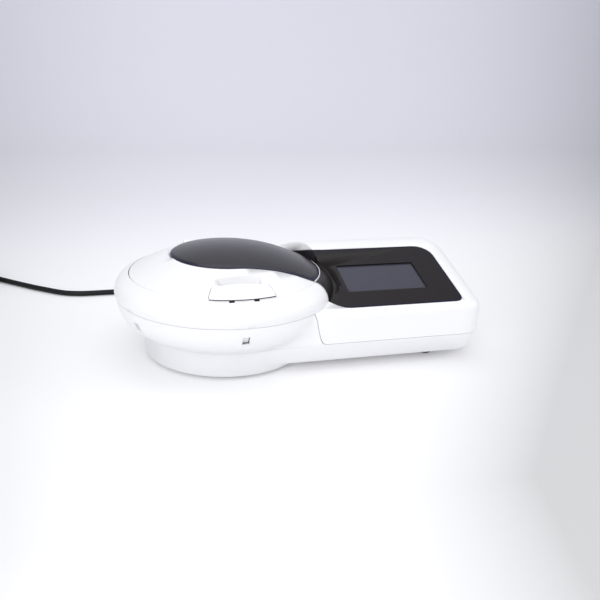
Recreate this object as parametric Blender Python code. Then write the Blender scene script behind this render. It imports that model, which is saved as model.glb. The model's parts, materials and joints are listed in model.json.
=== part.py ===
# Dry western blotting system: a round blotting bowl with a hinged pressure lid,
# beside a wedge-shaped console with a touch screen, on one moulded housing.
# Metres, +Z up, front at -Y. The origin lies on the bench under the middle of the body.

import bpy
import bmesh
import math
from mathutils import Matrix, Vector

# Overall form
LENGTH = 0.356                # left side of the bowl to the right end of the console
BOWL_RADIUS = 0.1078          # widest ring of the bowl
BOWL_WIDEST_HEIGHT = 0.065
RING_TOP = 0.0824             # edge of the lid opening
RING_WIDTH = 0.0139           # from the widest ring in to the lid opening
LID_OPENING_RADIUS = BOWL_RADIUS - RING_WIDTH
WALL = 0.0025                 # moulded wall of the two housings
TOUCH_GAP = 0.0003            # gap between pieces that rest on each other
SEAM_GAP = 0.0004             # visible parting line between the two housings
OVERRUN = 0.03                # how far a cutter reaches past what it cuts
BOWL_X = BOWL_RADIUS - LENGTH / 2
RIGHT_END = LENGTH / 2

# Bowl below the seam: a round foot under an outward swelling
FOOT_INSET = 0.027            # from the widest ring
FOOT_RADIUS = BOWL_RADIUS - FOOT_INSET
FOOT_BOTTOM = 0.003
FOOT_CHAMFER = 0.002
SWELL_INSET = 0.0016          # from the widest ring
SWELL_RADIUS = BOWL_RADIUS - SWELL_INSET
SWELL_CORE_INSET = 0.0088     # of the centre of the swelling's curve, from the foot
SWELL_CORE_RADIUS = FOOT_RADIUS - SWELL_CORE_INSET
SWELL_HEIGHT = 0.062
SWELL_DROP = 0.036
FOOT_SEAM_HEIGHT = 0.0606     # parting line round the bowl

# Ring shoulder above the seam
SHOULDER_CORE_INSET = 0.0059  # of the centre of the shoulder's curve, from the lid opening
SHOULDER_CORE_RADIUS = LID_OPENING_RADIUS - SHOULDER_CORE_INSET
SHOULDER_RISE = 0.0182

# Console: a wedge with a rounded crest
CONSOLE_HALF_DEPTH = 0.082
CONSOLE_FLOOR = 0.008
CONSOLE_FLOOR_HALF_DEPTH = 0.0725
CONSOLE_FLOOR_ROUND = 0.002
CONSOLE_SEAM_HEIGHT = 0.0295
PLANE_SLOPE = math.radians(18)
CREST_RADIUS = 0.044
CREST_Y = 0.038
CREST_HEIGHT = 0.052          # height of the crest curve's centre
FRONT_EDGE_ROUND = 0.008
END_ROUND = 0.026             # right end, seen from above
END_DROP = 0.013              # right end, fall of the top surface
END_STEPS = 6

# Parting line on the front and back walls, between bowl and console
PARTING_X_SHARES = (0.634, 0.655, 0.671, 0.694, 0.715, 0.748)     # of the bowl radius
PARTING_FALL_SHARES = (0.0, 0.2, 0.47, 0.79, 0.95, 1.0)            # of the fall between the two seams

# Flare of the console round the lid
FLARE_RISE = 0.03
FLARE_SPREAD = 0.009

# Collar that carries the well and the lid
COLLAR_WALL = 0.003
LEDGE_WIDTH = 0.0044
LEDGE_INNER_RADIUS = LID_OPENING_RADIUS - LEDGE_WIDTH
LEDGE_TOP = 0.0759
LEDGE_THICKNESS = 0.0025

# Console panel
PANEL_FRONT_MARGIN = 0.0075   # from the console's front wall
PANEL_FRONT_Y = PANEL_FRONT_MARGIN - CONSOLE_HALF_DEPTH
PANEL_BACK_Y = 0.0200
PANEL_END_MARGIN = 0.0235     # from the right end
PANEL_THICKNESS = 0.0023
PANEL_BACK_CORNER = 0.018
PANEL_FRONT_CORNER = 0.009
PANEL_LEDGE = 0.004
PANEL_LEDGE_THICKNESS = 0.0019
PANEL_HORN_REACH = 0.036      # of the horn that tapers out on the flare, from the panel's back edge
PANEL_HORN_LAP = 0.002

# S-shaped front left edge of the panel: places from the bowl's axis, with X measured from the lid opening
PANEL_CURVE_START = (LID_OPENING_RADIUS - 0.0169, -0.055)
PANEL_CURVE_START_PULL = (LID_OPENING_RADIUS - 0.0079, -0.0585)
PANEL_CURVE_END_PULL = (LID_OPENING_RADIUS - 0.0014, PANEL_FRONT_Y)
PANEL_CURVE_END_X = LID_OPENING_RADIUS + 0.0131
PANEL_INNER_X = LID_OPENING_RADIUS - 0.0339
PANEL_START_X = LID_OPENING_RADIUS - 0.0239

# Crescent groove between ring and panel
MOAT_RADIUS = 0.055
MOAT_REACH = 0.0116           # past the lid opening
MOAT_CENTRE = (LID_OPENING_RADIUS + MOAT_REACH - MOAT_RADIUS, -0.031)
MOAT_DEPTH = 0.0025

# Screen
SCREEN_START_MARGIN = 0.01765 # from the lid opening
SCREEN_END_MARGIN = 0.02965   # from the panel's right edge
SCREEN_LEFT = BOWL_X + LID_OPENING_RADIUS + SCREEN_START_MARGIN
SCREEN_RIGHT = RIGHT_END - PANEL_END_MARGIN - SCREEN_END_MARGIN
SCREEN_DEPTH = 0.0425
SCREEN_CENTRE_Y = -0.0297
SCREEN_CORNER = 0.001
SCREEN_RECESS = 0.0013
GLASS_THICKNESS = 0.0018
GLASS_MARGIN = 0.0025         # of the glass under the panel's edge
DISPLAY_THICKNESS = 0.006
DISPLAY_MARGIN = 0.003

# Lid
LID_GAP = 0.0008
LID_RADIUS = LID_OPENING_RADIUS - LID_GAP
LID_RISE = 0.025              # of the whole crown above the opening
LID_WALL = 0.0025
LID_SKIRT_BOTTOM = 0.0785
LID_EDGE = 0.0006
INLAY_PROUD = 0.001
INLAY_EDGE_PROUD = 0.0002
INLAY_THICKNESS = 0.0022
INLAY_RADIUS = 0.0535
INLAY_HALF_DEPTH = 0.0545
INLAY_BAND = 0.003            # sloping border
INLAY_RING_SHARES = (0.04, 0.36, 0.7, 1.0)

# Crescent hollow at the inlay's left tip, from its back end to its front end
CRESCENT_ANGLES = (141, 146, 150, 160, 170, 180, 188, 194)
CRESCENT_REACH_SHARES = (1.01, 1.2, 1.19, 1.14, 1.105, 1.08, 1.06, 1.01)     # of the inlay's radius
CRESCENT_DEPTH = 0.0019
CRESCENT_SEAT = 0.001         # how far it reaches under the inlay

# Latch lever in the lid's front edge
LATCH_WIDTH = 0.059
LATCH_TOP_WIDTH = 0.0508
LATCH_SIDE_INSET = 0.0099     # where its sides start to draw in, from the lid opening
LATCH_SIDE_Y = LATCH_SIDE_INSET - LID_OPENING_RADIUS
LATCH_DEPTH = 0.0187          # from the lid opening to its back edge
LATCH_TOP_Y = LATCH_DEPTH - LID_OPENING_RADIUS
LATCH_GAP = 0.0005
LATCH_CLEARANCE = 0.0007      # under the lever
LATCH_AXIS_INSET = 0.0094     # from the lid opening
LATCH_AXIS_Y = LATCH_AXIS_INSET - LID_OPENING_RADIUS
LATCH_AXIS_HEIGHT = 0.0798
LATCH_BARREL_RADIUS = 0.0022
LATCH_BARREL_WIDTH = 0.028
LATCH_RIB_THICKNESS = 0.002
LATCH_BORE_RADIUS = 0.0013
LATCH_PIN_RADIUS = 0.0010
LATCH_PIN_LENGTH = 0.048
LATCH_LUG_INNER_X = 0.0145
LATCH_LUG_WIDTH = 0.003
LATCH_SPRING_RADIUS = 0.0018
LATCH_SPRING_WIRE = 0.0006
LATCH_SPRING_LENGTH = 0.0045
LATCH_SPRING_CURLS = 3
HOOK_SPACING = 0.022
HOOK_WIDTH = 0.004
HOOK_THICKNESS = 0.0018
HOOK_INSET = 0.0018           # from the lid opening
HOOK_FRONT_Y = HOOK_INSET - LID_OPENING_RADIUS
HOOK_BOTTOM = 0.0725
HOOK_NOSE = 0.0009
HOOK_NOSE_TOP = 0.0758
HOOK_NOSE_HEIGHT = 0.0024
HOOK_SLOT_WIDTH = 0.005
HOOK_SLOT_INSET = 0.0079      # of its back, inside the lid opening
HOOK_SLOT_REACH = 0.0017      # of its front, past the lid opening
HOOK_SLOT_BACK_Y = HOOK_SLOT_INSET - LID_OPENING_RADIUS
HOOK_SLOT_FRONT_Y = -HOOK_SLOT_REACH - LID_OPENING_RADIUS
CATCH_BOTTOM = 0.0762
CATCH_HEIGHT = 0.0018
CATCH_DEPTH = 0.0016

# Finger scoop behind the lever
SCOOP_WIDTH = 0.039
SCOOP_INSET = 0.0149          # from the lid opening
SCOOP_DEPTH = 0.0138          # from front to back
SCOOP_FRONT_Y = SCOOP_INSET - LID_OPENING_RADIUS
SCOOP_BACK_Y = SCOOP_FRONT_Y + SCOOP_DEPTH
SCOOP_FLOOR = 0.0862
SCOOP_WALL = 0.002
SCOOP_CORNER = 0.004

# Lid hinge
HINGE_INSET = 0.0078          # from the widest ring
HINGE_Y = BOWL_RADIUS - HINGE_INSET
HINGE_HEIGHT = 0.084
HINGE_KNUCKLE_RADIUS = 0.0035
HINGE_BORE_RADIUS = 0.0023
HINGE_PIN_RADIUS = 0.0020
HINGE_BLOCK_WIDTH = 0.034
HINGE_BLOCK_REACH = 0.0045    # behind the hinge's axis
HINGE_BLOCK_BACK_Y = HINGE_Y + HINGE_BLOCK_REACH
HINGE_BLOCK_BACK_TOP = 0.0805
HINGE_BLOCK_LOW = 0.066
HINGE_SIDE_GAP = 0.0005
HINGE_ARM_WIDTH = 0.0125
HINGE_ARM_LAP = 0.0079        # over the lid, inside the lid opening
HINGE_ARM_FRONT_Y = LID_OPENING_RADIUS - HINGE_ARM_LAP
HINGE_ARM_BOTTOM = 0.0828
HINGE_ARM_FRONT_TOP = 0.0852
HINGE_ARM_START = 200         # degrees round the knuckle where the arm's underside meets it

# Liner inside the lid
LINER_INSET = 0.0045          # from the lid's side
LINER_RADIUS = LID_RADIUS - LINER_INSET
LINER_THICKNESS = 0.002
LINER_LATCH_LAP = 0.0037      # behind the latch's axis
LINER_LATCH_Y = LATCH_AXIS_Y + LINER_LATCH_LAP
LINER_LATCH_WIDTH = 0.062
LINER_SCREW_INSET = 0.0166    # from the lid's side
LINER_SCREW_RADIUS = LID_RADIUS - LINER_SCREW_INSET
LINER_SCREW_ANGLE = math.radians(48.6)    # clear of the pressure plate's corners
LINER_SCREW_SHANK = 0.0012
LINER_SCREW_BORE = 0.0016
LINER_SCREW_HEAD = 0.0026
LINER_SCREW_HEAD_HEIGHT = 0.0012
LINER_SCREW_LENGTH = 0.0085
LINER_BOSS_RADIUS = 0.0036

# Sprung pressure plate under the liner
PLATE_SIDE_MARGIN = 0.0175    # from the well's mouth, to the left and right
PLATE_FRONT_MARGIN = 0.0415   # from the well's mouth, to the front and back
PLATE_WIDTH = 2 * (LEDGE_INNER_RADIUS - PLATE_SIDE_MARGIN)
PLATE_DEPTH = 2 * (LEDGE_INNER_RADIUS - PLATE_FRONT_MARGIN)
PLATE_CORNER = 0.014
PLATE_TOP = 0.075
PLATE_THICKNESS = 0.0035
PAD_MARGIN = 0.007            # inside the plate
PAD_WIDTH = PLATE_WIDTH - 2 * PAD_MARGIN
PAD_DEPTH = PLATE_DEPTH - 2 * PAD_MARGIN
PAD_CORNER = 0.004
PAD_THICKNESS = 0.0024
POST_INSET_X = 0.017          # from the plate's sides
POST_INSET_Y = 0.018
POST_SPACING_X = PLATE_WIDTH - 2 * POST_INSET_X
POST_SPACING_Y = PLATE_DEPTH - 2 * POST_INSET_Y
POST_RADIUS = 0.0025
POST_HEAD_RADIUS = 0.0042
POST_HEAD_HEIGHT = 0.0016
CUP_RADIUS = 0.0075
CUP_WALL = 0.0014
CUP_TOP = 0.086
CUP_BORE_RADIUS = 0.0029
SPRING_RADIUS = 0.0043
SPRING_WIRE = 0.0011
SPRING_CURLS = 3

# Well under the lid
TRAY_FLANGE_GAP = 0.0005      # to the lid opening
TRAY_FLANGE_RADIUS = LID_OPENING_RADIUS - TRAY_FLANGE_GAP
TRAY_FLANGE_THICKNESS = 0.002
TRAY_GAP = 0.0013             # to the ledge
TRAY_RADIUS = LEDGE_INNER_RADIUS - TRAY_GAP
TRAY_WALL = 0.002
TRAY_FLOOR = 0.062            # top of its floor
TRAY_DIP_MARGIN = 0.002       # round the latch lever
STACK_MARGIN = 0.005          # of the blotting plate, inside the pressure plate
STACK_WIDTH = PLATE_WIDTH - 2 * STACK_MARGIN
STACK_DEPTH = PLATE_DEPTH - 2 * STACK_MARGIN
STACK_CORNER = 0.003
STACK_PLATE_THICKNESS = 0.001
FENCE_THICKNESS = 0.0025
FENCE_HEIGHT = 0.0026
CONTACT_MARGIN = 0.0105       # to the left of the blotting plate
CONTACT_X = -STACK_WIDTH / 2 - CONTACT_MARGIN
CONTACT_SPACING = 0.024
CONTACT_RADIUS = 0.0022
CONTACT_HEAD_RADIUS = 0.0036
CONTACT_HEAD_HEIGHT = 0.0012
CONTACT_TOP = 0.0680
CONTACT_BORE_RADIUS = 0.0025
PLUNGER_RADIUS = 0.0018

# Snap windows in the bowl and the tabs that show in them
SNAP_ANGLES = (-150, -90, 90, 150)
SNAP_WINDOW_WIDTH = 0.0067
SNAP_WINDOW_LOW = 0.0440
SNAP_WINDOW_HIGH = 0.0520
SNAP_TAB_WIDTH = 0.0055
SNAP_TAB_SHARES = ((0.985, 1.02), (0.985, 1.089), (0.946, 1.089), (0.8905, 0.734), (0.9045, 0.734),
                   (0.94, 0.833), (0.93, 0.855), (0.948, 0.998), (0.9535, 1.02))    # of bowl radius and seam height

# Rubber feet
FOOT_PAD_RADIUS = 0.0075
FOOT_PAD_TOP_RADIUS = 0.0066
FOOT_PAD_RIM = 0.0012
BOWL_FOOT_INSET = 0.0142      # from the bowl's foot
BOWL_FOOT_RING = FOOT_RADIUS - BOWL_FOOT_INSET
BOWL_FOOT_ANGLES = (-90, 90, 180)
CONSOLE_FOOT_MARGIN = 0.0504  # from the right end
CONSOLE_FOOT_X = RIGHT_END - CONSOLE_FOOT_MARGIN
CONSOLE_FOOT_INSET = 0.022    # from the edge of the console's floor
CONSOLE_FOOT_Y = CONSOLE_FLOOR_HALF_DEPTH - CONSOLE_FOOT_INSET

# Screws that hold the housings together
SCREW_SHARES = ((0.8751, 0.6098), (0.6857, 0.5488), (0.4923, 0.5488))    # of the console's length and half depth
SCREW_PLACES = [(BOWL_X + (RIGHT_END - BOWL_X) * x, CONSOLE_HALF_DEPTH * y) for x, y in SCREW_SHARES]
SCREW_SHANK_RADIUS = 0.0015
SCREW_HEAD_RADIUS = 0.0028
SCREW_HEAD_HEIGHT = 0.0011
SCREW_BORE_RADIUS = 0.0019
SCREW_LENGTH = 0.014
SCREW_POST_RADIUS = 0.004
SCREW_RECESS_RADIUS = 0.0032
SCREW_RECESS = 0.0012

# Mains inlet in the back wall
INLET_MARGIN = 0.1052         # from the right end
INLET_X = RIGHT_END - INLET_MARGIN
REAR_HEIGHT = 0.0420          # middle of what sits in the back wall
INLET_WIDTH = 0.0270
INLET_HEIGHT = 0.0190
INLET_DEPTH = 0.0190
INLET_FLANGE = 0.0020
INLET_FLANGE_MARGIN = 0.0016
INLET_WALL = 0.0014
INLET_PIN_WIDTH = 0.0020
INLET_PIN_HEIGHT = 0.0040
INLET_PIN_LENGTH = 0.0140
INLET_PIN_SPACING = 0.0070
INLET_PIN_RISE = 0.0022

# Mains switch
SWITCH_MARGIN = 0.0750        # from the right end
SWITCH_X = RIGHT_END - SWITCH_MARGIN
SWITCH_WIDTH = 0.0140
SWITCH_HEIGHT = 0.0190
SWITCH_DEPTH = 0.0140
SWITCH_FLANGE = 0.0015
SWITCH_FLANGE_MARGIN = 0.0014
SWITCH_WALL = 0.0011
ROCKER_GAP = 0.0004
ROCKER_AXIS_DEPTH = 0.0040    # behind the back wall's outside
ROCKER_FACE = 0.0058
ROCKER_WAIST = 0.0042
ROCKER_BACK = 0.0030
ROCKER_TILT = 7               # degrees either way
ROCKER_END_GAP = 0.0008
ROCKER_AXLE_RADIUS = 0.0012

# Data socket
SOCKET_MARGIN = 0.0515        # from the right end
SOCKET_X = RIGHT_END - SOCKET_MARGIN
SOCKET_WIDTH = 0.0132
SOCKET_HEIGHT = 0.0058
SOCKET_DEPTH = 0.0120
SOCKET_WALL = 0.0005
SOCKET_TONGUE_HEIGHT = 0.0018
SOCKET_TONGUE_WIDTH = 0.0105
SOCKET_TONGUE_SET = 0.0015    # below the mouth

# Rear vents and cooling fan
VENT_MARGIN = 0.1502          # from the right end
VENT_X = RIGHT_END - VENT_MARGIN
VENT_COUNT = 6
VENT_PITCH = 0.0058
VENT_WIDTH = 0.0024
VENT_LOW = 0.0340
VENT_HIGH = 0.0585
FAN_SIZE = 0.040
FAN_DEPTH = 0.010
FAN_INSET = 0.0088            # inside the back wall
FAN_BACK_Y = CONSOLE_HALF_DEPTH - FAN_INSET
FAN_BORE_RADIUS = 0.0185
FAN_HUB_RADIUS = 0.0085
FAN_HUB_DEPTH = 0.0066
FAN_BLADE_COUNT = 7
FAN_BLADE_REACH = 0.0176
FAN_BLADE_THICKNESS = 0.0010
FAN_BLADE_SWEEP = 24          # degrees
FAN_STRUT_WIDTH = 0.0024
FAN_STRUT_THICKNESS = 0.0014
FAN_SHAFT_RADIUS = 0.0012
FAN_BEARING_RADIUS = 0.0015
FAN_CORNER = 0.003
FAN_BOSS_RADIUS = 0.0028
FAN_BOSS_INSET = 0.0035
FAN_BOSS_REACH = 0.0090

# Boards inside
BOARD_THICKNESS = 0.0016
STANDOFF_RADIUS = 0.0030
STANDOFF_HEIGHT = 0.0040
STANDOFF_INSET = 0.0050
CONTROL_BOARD_START = 0.0323  # from the lid opening
CONTROL_BOARD_END = 0.0340    # from the right end
CONTROL_BOARD_DEPTH = 0.0720
CONTROL_BOARD_LOW = (BOWL_X + LID_OPENING_RADIUS + CONTROL_BOARD_START, -0.0480)
CONTROL_BOARD_SIZE = (RIGHT_END - CONTROL_BOARD_END - CONTROL_BOARD_LOW[0], CONTROL_BOARD_DEPTH)
POWER_BOARD_SIDE_MARGIN = 0.0328          # from the bowl's foot, to the left and right
POWER_BOARD_FRONT_MARGIN = 0.0388         # from the bowl's foot, to the front and back
POWER_BOARD_SIZE = (2 * (FOOT_RADIUS - POWER_BOARD_SIDE_MARGIN), 2 * (FOOT_RADIUS - POWER_BOARD_FRONT_MARGIN))
POWER_BOARD_LOW = (BOWL_X - POWER_BOARD_SIZE[0] / 2, -POWER_BOARD_SIZE[1] / 2)
CHIP_SHARES = ((0.30, 0.30, 0.22, 0.25, 1.0), (0.60, 0.55, 0.16, 0.20, 1.4), (0.14, 0.66, 0.12, 0.16, 3.0),
               (0.72, 0.16, 0.14, 0.10, 4.0), (0.42, 0.76, 0.24, 0.10, 3.6))   # x, y, width, depth, height
CHIP_HEIGHT = 0.002
TRANSFORMER_SHARES = (0.50, 0.14, 0.4167, 0.4048)   # of the power board: x, y, width, depth
TRANSFORMER_HEIGHT = 0.030
BOBBIN_SHARES = (0.5, 1.24, 0.66)       # of the transformer's core
CAPACITOR_SHARES = ((0.16, 0.20), (0.16, 0.46), (0.34, 0.30))   # of the power board
CAPACITOR_RADIUS = 0.0085
CAPACITOR_HEIGHT = 0.028
HEAT_SINK_SHARES = (0.08, 0.76, 0.80, 0.12)   # of the power board: x, y, width, depth
HEAT_SINK_HEIGHT = 0.024
HEAT_SINK_FINS = 5
HEAT_SINK_BASE = 0.0022

# Mains lead: its connector and tapered relief at the inlet
CONNECTOR_GAP = 0.0003        # of the nose in the inlet's mouth
CONNECTOR_BODY_WIDTH = 0.0260
CONNECTOR_BODY_HEIGHT = 0.0190
CONNECTOR_BODY_LENGTH = 0.0200
CONNECTOR_NECK_WIDTH = 0.0150
CONNECTOR_NECK_LENGTH = 0.0060
CONNECTOR_CORNER = 0.0030
RELIEF_LENGTH = 0.0300
RELIEF_START_RADIUS = 0.0058
RELIEF_END_RADIUS = 0.0042

# Mains lead: the cord, lying behind the body and off to its left
CORD_RADIUS = 0.0032
CORD_LIFT = 0.0002            # over the bench
CORD_POINT_SPACING = 0.0150
CORD_ROUTE = ((0.0712, 0.1680, 0.0375), (0.0620, 0.1880, 0.0235),
              (0.0400, 0.2050, 0.0105), (0.0080, 0.2120, 0.0046), (-0.0400, 0.2060, 0.0034),
              (-0.0860, 0.1940, 0.0034), (-0.1300, 0.1850, 0.0034), (-0.1772, 0.1830, 0.0034),
              (-0.2262, 0.1860, 0.0034), (-0.2622, 0.2100, 0.0034), (-0.2890, 0.2335, 0.0034),
              (-0.3142, 0.2562, 0.0038))

# Mains lead: the rest of its length, coiled and tied
COIL_CENTRE = (-0.3697, 0.2457)
COIL_RADIUS = 0.0450          # of its widest loop
COIL_ENTRY = math.radians(48.3)
COIL_PITCH = 0.0071           # from loop to loop and from layer to layer
COIL_LAYER_TURNS = 2.75
COIL_CLIMB_TURNS = 0.5
COIL_LOOP_POINTS = 24
COIL_LIFT = 0.0014            # over the bench, for the tie
COIL_TAIL = 0.0320            # from the last loop to the plug
TIE_WIDTH = 0.0070
TIE_THICKNESS = 0.0009
TIE_GAP = 0.0007
TIE_CORNER = 0.0030

# Mains lead: its plug
PLUG_AXIS_HEIGHT = 0.0123
PLUG_RELIEF_LENGTH = 0.0280
PLUG_BODY_LENGTH = 0.0300
PLUG_BODY_WIDTH = 0.0250
PLUG_BODY_HEIGHT = 0.0240
PLUG_CORNER = 0.0060
PLUG_SHOULDER = 0.0060
BLADE_SPACING = 0.0127
BLADE_WIDTH = 0.0015
BLADE_HEIGHT = 0.0063
BLADE_LENGTH = 0.0170
BLADE_SEAT = 0.0080           # how far each pin reaches into the plug
BLADE_RISE = 0.0045
GROUND_PIN_DROP = 0.0119      # below the blades
GROUND_PIN_RADIUS = 0.0024
GROUND_PIN_LENGTH = 0.0200

# Counts of sides
ROUND_STEPS = 48
HOLLOW_STEPS = 32             # of surfaces inside a wall
SMALL_STEPS = 12
SWELL_STEPS = 8
SHOULDER_STEPS = 7
DOME_STEPS = 7


# Outline helpers


def arc(centre, radii, start, end, steps):
    """Points on an ellipse from a start to an end angle in degrees, both ends included."""
    points = []
    for step in range(steps + 1):
        angle = math.radians(start + (end - start) * step / steps)
        points.append((centre[0] + radii[0] * math.cos(angle), centre[1] + radii[1] * math.sin(angle)))
    return points


def inset_chain(points, depth):
    """Move an open outline to its left by a depth, with mitred corners."""
    normals = []
    for (ax, ay), (bx, by) in zip(points, points[1:]):
        run = math.hypot(bx - ax, by - ay)
        normals.append(((ay - by) / run, (bx - ax) / run))
    moved = []
    for index, (x, y) in enumerate(points):
        before = normals[max(index - 1, 0)]
        after = normals[min(index, len(normals) - 1)]
        share = depth / (1 + before[0] * after[0] + before[1] * after[1])
        moved.append((x + (before[0] + after[0]) * share, y + (before[1] + after[1]) * share))
    return moved


def bezier(start, start_pull, end_pull, end, steps):
    """Points on a cubic curve, the start left out."""
    points = []
    for step in range(1, steps + 1):
        t = step / steps
        weights = ((1 - t) ** 3, 3 * t * (1 - t) ** 2, 3 * t * t * (1 - t), t ** 3)
        corners = (start, start_pull, end_pull, end)
        points.append(tuple(sum(w * c[axis] for w, c in zip(weights, corners)) for axis in (0, 1)))
    return points


def rounded_box(low_x, high_x, low_y, high_y, radius, steps=4):
    """A rectangle's outline with round corners, counter-clockwise."""
    points = []
    corners = ((high_x - radius, low_y + radius, -90), (high_x - radius, high_y - radius, 0),
               (low_x + radius, high_y - radius, 90), (low_x + radius, low_y + radius, 180))
    for x, y, start in corners:
        points += arc((x, y), (radius, radius), start, start + 90, steps)
    return points


# Scene helpers


def clear_scene():
    for thing in list(bpy.data.objects):
        bpy.data.objects.remove(thing)


FINISHES = {}


def finish(name, colour, roughness, metallic=0.0):
    """A Principled material, made once and kept by name."""
    material = bpy.data.materials.new(name)
    material.use_nodes = True
    shader = material.node_tree.nodes["Principled BSDF"]
    shader.inputs["Base Color"].default_value = (*colour, 1.0)
    shader.inputs["Roughness"].default_value = roughness
    shader.inputs["Metallic"].default_value = metallic
    material.diffuse_color = (*colour, 1.0)
    FINISHES[name] = material
    return material


def new_object(name, bm):
    """Put a bmesh in the scene as an object with outward faces."""
    bmesh.ops.remove_doubles(bm, verts=bm.verts, dist=TOUCH_GAP / 100)
    bmesh.ops.recalc_face_normals(bm, faces=bm.faces)
    mesh = bpy.data.meshes.new(name)
    bm.to_mesh(mesh)
    bm.free()
    thing = bpy.data.objects.new(name, mesh)
    bpy.context.scene.collection.objects.link(thing)
    return thing


def turned(name, outline, axis_x=BOWL_X, axis_y=0.0, steps=ROUND_STEPS, closed=False):
    """Spin an outline of (radius, height) points about an upright axis."""
    bm = bmesh.new()
    verts = [bm.verts.new((axis_x + radius, axis_y, height)) for radius, height in outline]
    edges = [bm.edges.new(pair) for pair in zip(verts, verts[1:])]
    if closed:
        edges.append(bm.edges.new((verts[-1], verts[0])))
    bmesh.ops.spin(bm, geom=verts + edges, cent=(axis_x, axis_y, 0), axis=(0, 0, 1),
                   angle=math.tau, steps=steps, use_merge=True)
    return new_object(name, bm)


def loft(name, rings, flat_sides=True):
    """Join equal rings of points into a closed body with flat ends."""
    bm = bmesh.new()
    loops = [[bm.verts.new(point) for point in ring] for ring in rings]
    bm.faces.new(reversed(loops[0]))
    bm.faces.new(loops[-1])
    sides = []
    for low, high in zip(loops, loops[1:]):
        count = len(low)
        for index in range(count):
            after = (index + 1) % count
            sides.append(bm.faces.new((low[index], low[after], high[after], high[index])))
    if not flat_sides:
        bmesh.ops.triangulate(bm, faces=sides)
    return new_object(name, bm)


def prism(name, outline, low, high):
    """Extrude an outline of (x, y) points from one height to another."""
    return loft(name, [[(x, y, z) for x, y in outline] for z in (low, high)])


def prism_along_x(name, outline, low, high):
    """Extrude an outline of (y, z) points along X."""
    return loft(name, [[(x, y, z) for y, z in outline] for x in (low, high)])


def prism_along_y(name, outline, low, high):
    """Extrude an outline of (x, z) points along Y."""
    return loft(name, [[(x, y, z) for x, z in outline] for y in (low, high)])


def block(name, low, high):
    """A box between two corners."""
    return prism(name, [(low[0], low[1]), (high[0], low[1]), (high[0], high[1]), (low[0], high[1])],
                 low[2], high[2])


def circle(x, y, radius, steps=SMALL_STEPS):
    return arc((x, y), (radius, radius), 0, 360, steps)[:-1]


def post(name, x, y, radius, low, high, steps=SMALL_STEPS):
    """An upright cylinder."""
    return prism(name, circle(x, y, radius, steps), low, high)


def rod_along_x(name, y, z, radius, low, high, steps=SMALL_STEPS):
    return prism_along_x(name, circle(y, z, radius, steps), low, high)


def rod_along_y(name, x, z, radius, low, high, steps=SMALL_STEPS):
    return prism_along_y(name, circle(x, z, radius, steps), low, high)


def turn_about_bowl(thing, degrees):
    """Turn a piece made at the bowl's right side to another angle round its axis."""
    middle = Matrix.Translation((BOWL_X, 0, 0))
    thing.data.transform(middle @ Matrix.Rotation(math.radians(degrees), 4, 'Z') @ middle.inverted())
    return thing


def radial_block(name, degrees, inner, outer, width, low, high):
    """A box that points away from the bowl's axis."""
    box = block(name, (BOWL_X + inner, -width / 2, low), (BOWL_X + outer, width / 2, high))
    return turn_about_bowl(box, degrees)


def gather(thing, *others):
    """Put separate solids into one object."""
    bm = bmesh.new()
    for each in (thing, *others):
        bm.from_mesh(each.data)
    bm.to_mesh(thing.data)
    bm.free()
    for other in others:
        bpy.data.objects.remove(other)
    return thing


def helix(radius, length, curls, points_per_curl):
    """Points (x, y, rise) of a spring's wire."""
    points = []
    for step in range(curls * points_per_curl + 1):
        angle = math.tau * step / points_per_curl
        points.append((radius * math.cos(angle), radius * math.sin(angle),
                       length * step / (curls * points_per_curl)))
    return points


def wire(name, points, radius, resolution):
    """A round tube along a list of points, with closed ends."""
    curve = bpy.data.curves.new(name, 'CURVE')
    curve.dimensions = '3D'
    curve.bevel_depth = radius
    curve.bevel_resolution = resolution
    curve.use_fill_caps = True
    spline = curve.splines.new('POLY')
    spline.points.add(len(points) - 1)
    for point, place in zip(spline.points, points):
        point.co = (*place, 1)
    guide = bpy.data.objects.new(name, curve)
    bpy.context.scene.collection.objects.link(guide)
    bpy.context.view_layer.update()
    mesh = bpy.data.meshes.new_from_object(guide.evaluated_get(bpy.context.evaluated_depsgraph_get()))
    bpy.data.objects.remove(guide)
    bm = bmesh.new()
    bm.from_mesh(mesh)
    return new_object(name, bm)


def shaped_mesh(thing):
    """A copy of an object's mesh with its modifiers in it."""
    bpy.context.view_layer.update()
    return bpy.data.meshes.new_from_object(thing.evaluated_get(bpy.context.evaluated_depsgraph_get()))


def is_closed(mesh):
    """Whether every edge of a mesh lies between two faces."""
    bm = bmesh.new()
    bm.from_mesh(mesh)
    closed = all(len(edge.link_faces) == 2 for edge in bm.edges)
    bm.free()
    return closed


def combine(thing, operation, *tools):
    """Join, cut or trim an object with others, which are used up.

    The exact solver leaves edges with more than two faces at some crossings of the turned ring
    with other curved walls, and there the manifold solver takes its place.
    """
    for tool in tools:
        modifier = thing.modifiers.new(operation.title(), 'BOOLEAN')
        modifier.operation = operation
        modifier.solver = 'EXACT'
        modifier.object = tool
        mesh = shaped_mesh(thing)
        if not is_closed(mesh):
            bpy.data.meshes.remove(mesh)
            modifier.solver = 'MANIFOLD'
            mesh = shaped_mesh(thing)
        thing.modifiers.clear()
        old = thing.data
        thing.data = mesh
        mesh.name = thing.name
        bpy.data.meshes.remove(old)
        bpy.data.objects.remove(tool)
    return thing


def join(thing, *tools):
    return combine(thing, 'UNION', *tools)


def cut(thing, *tools):
    return combine(thing, 'DIFFERENCE', *tools)


def trim(thing, *tools):
    return combine(thing, 'INTERSECT', *tools)


def dress(thing, name, finish_name):
    """Name a finished piece and give it its material and shading."""
    thing.name = name
    thing.data.name = name
    thing.data.materials.clear()
    thing.data.materials.append(FINISHES[finish_name])
    thing.data.shade_smooth()
    thing.data.set_sharp_from_angle(angle=math.radians(35))
    return thing


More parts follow.
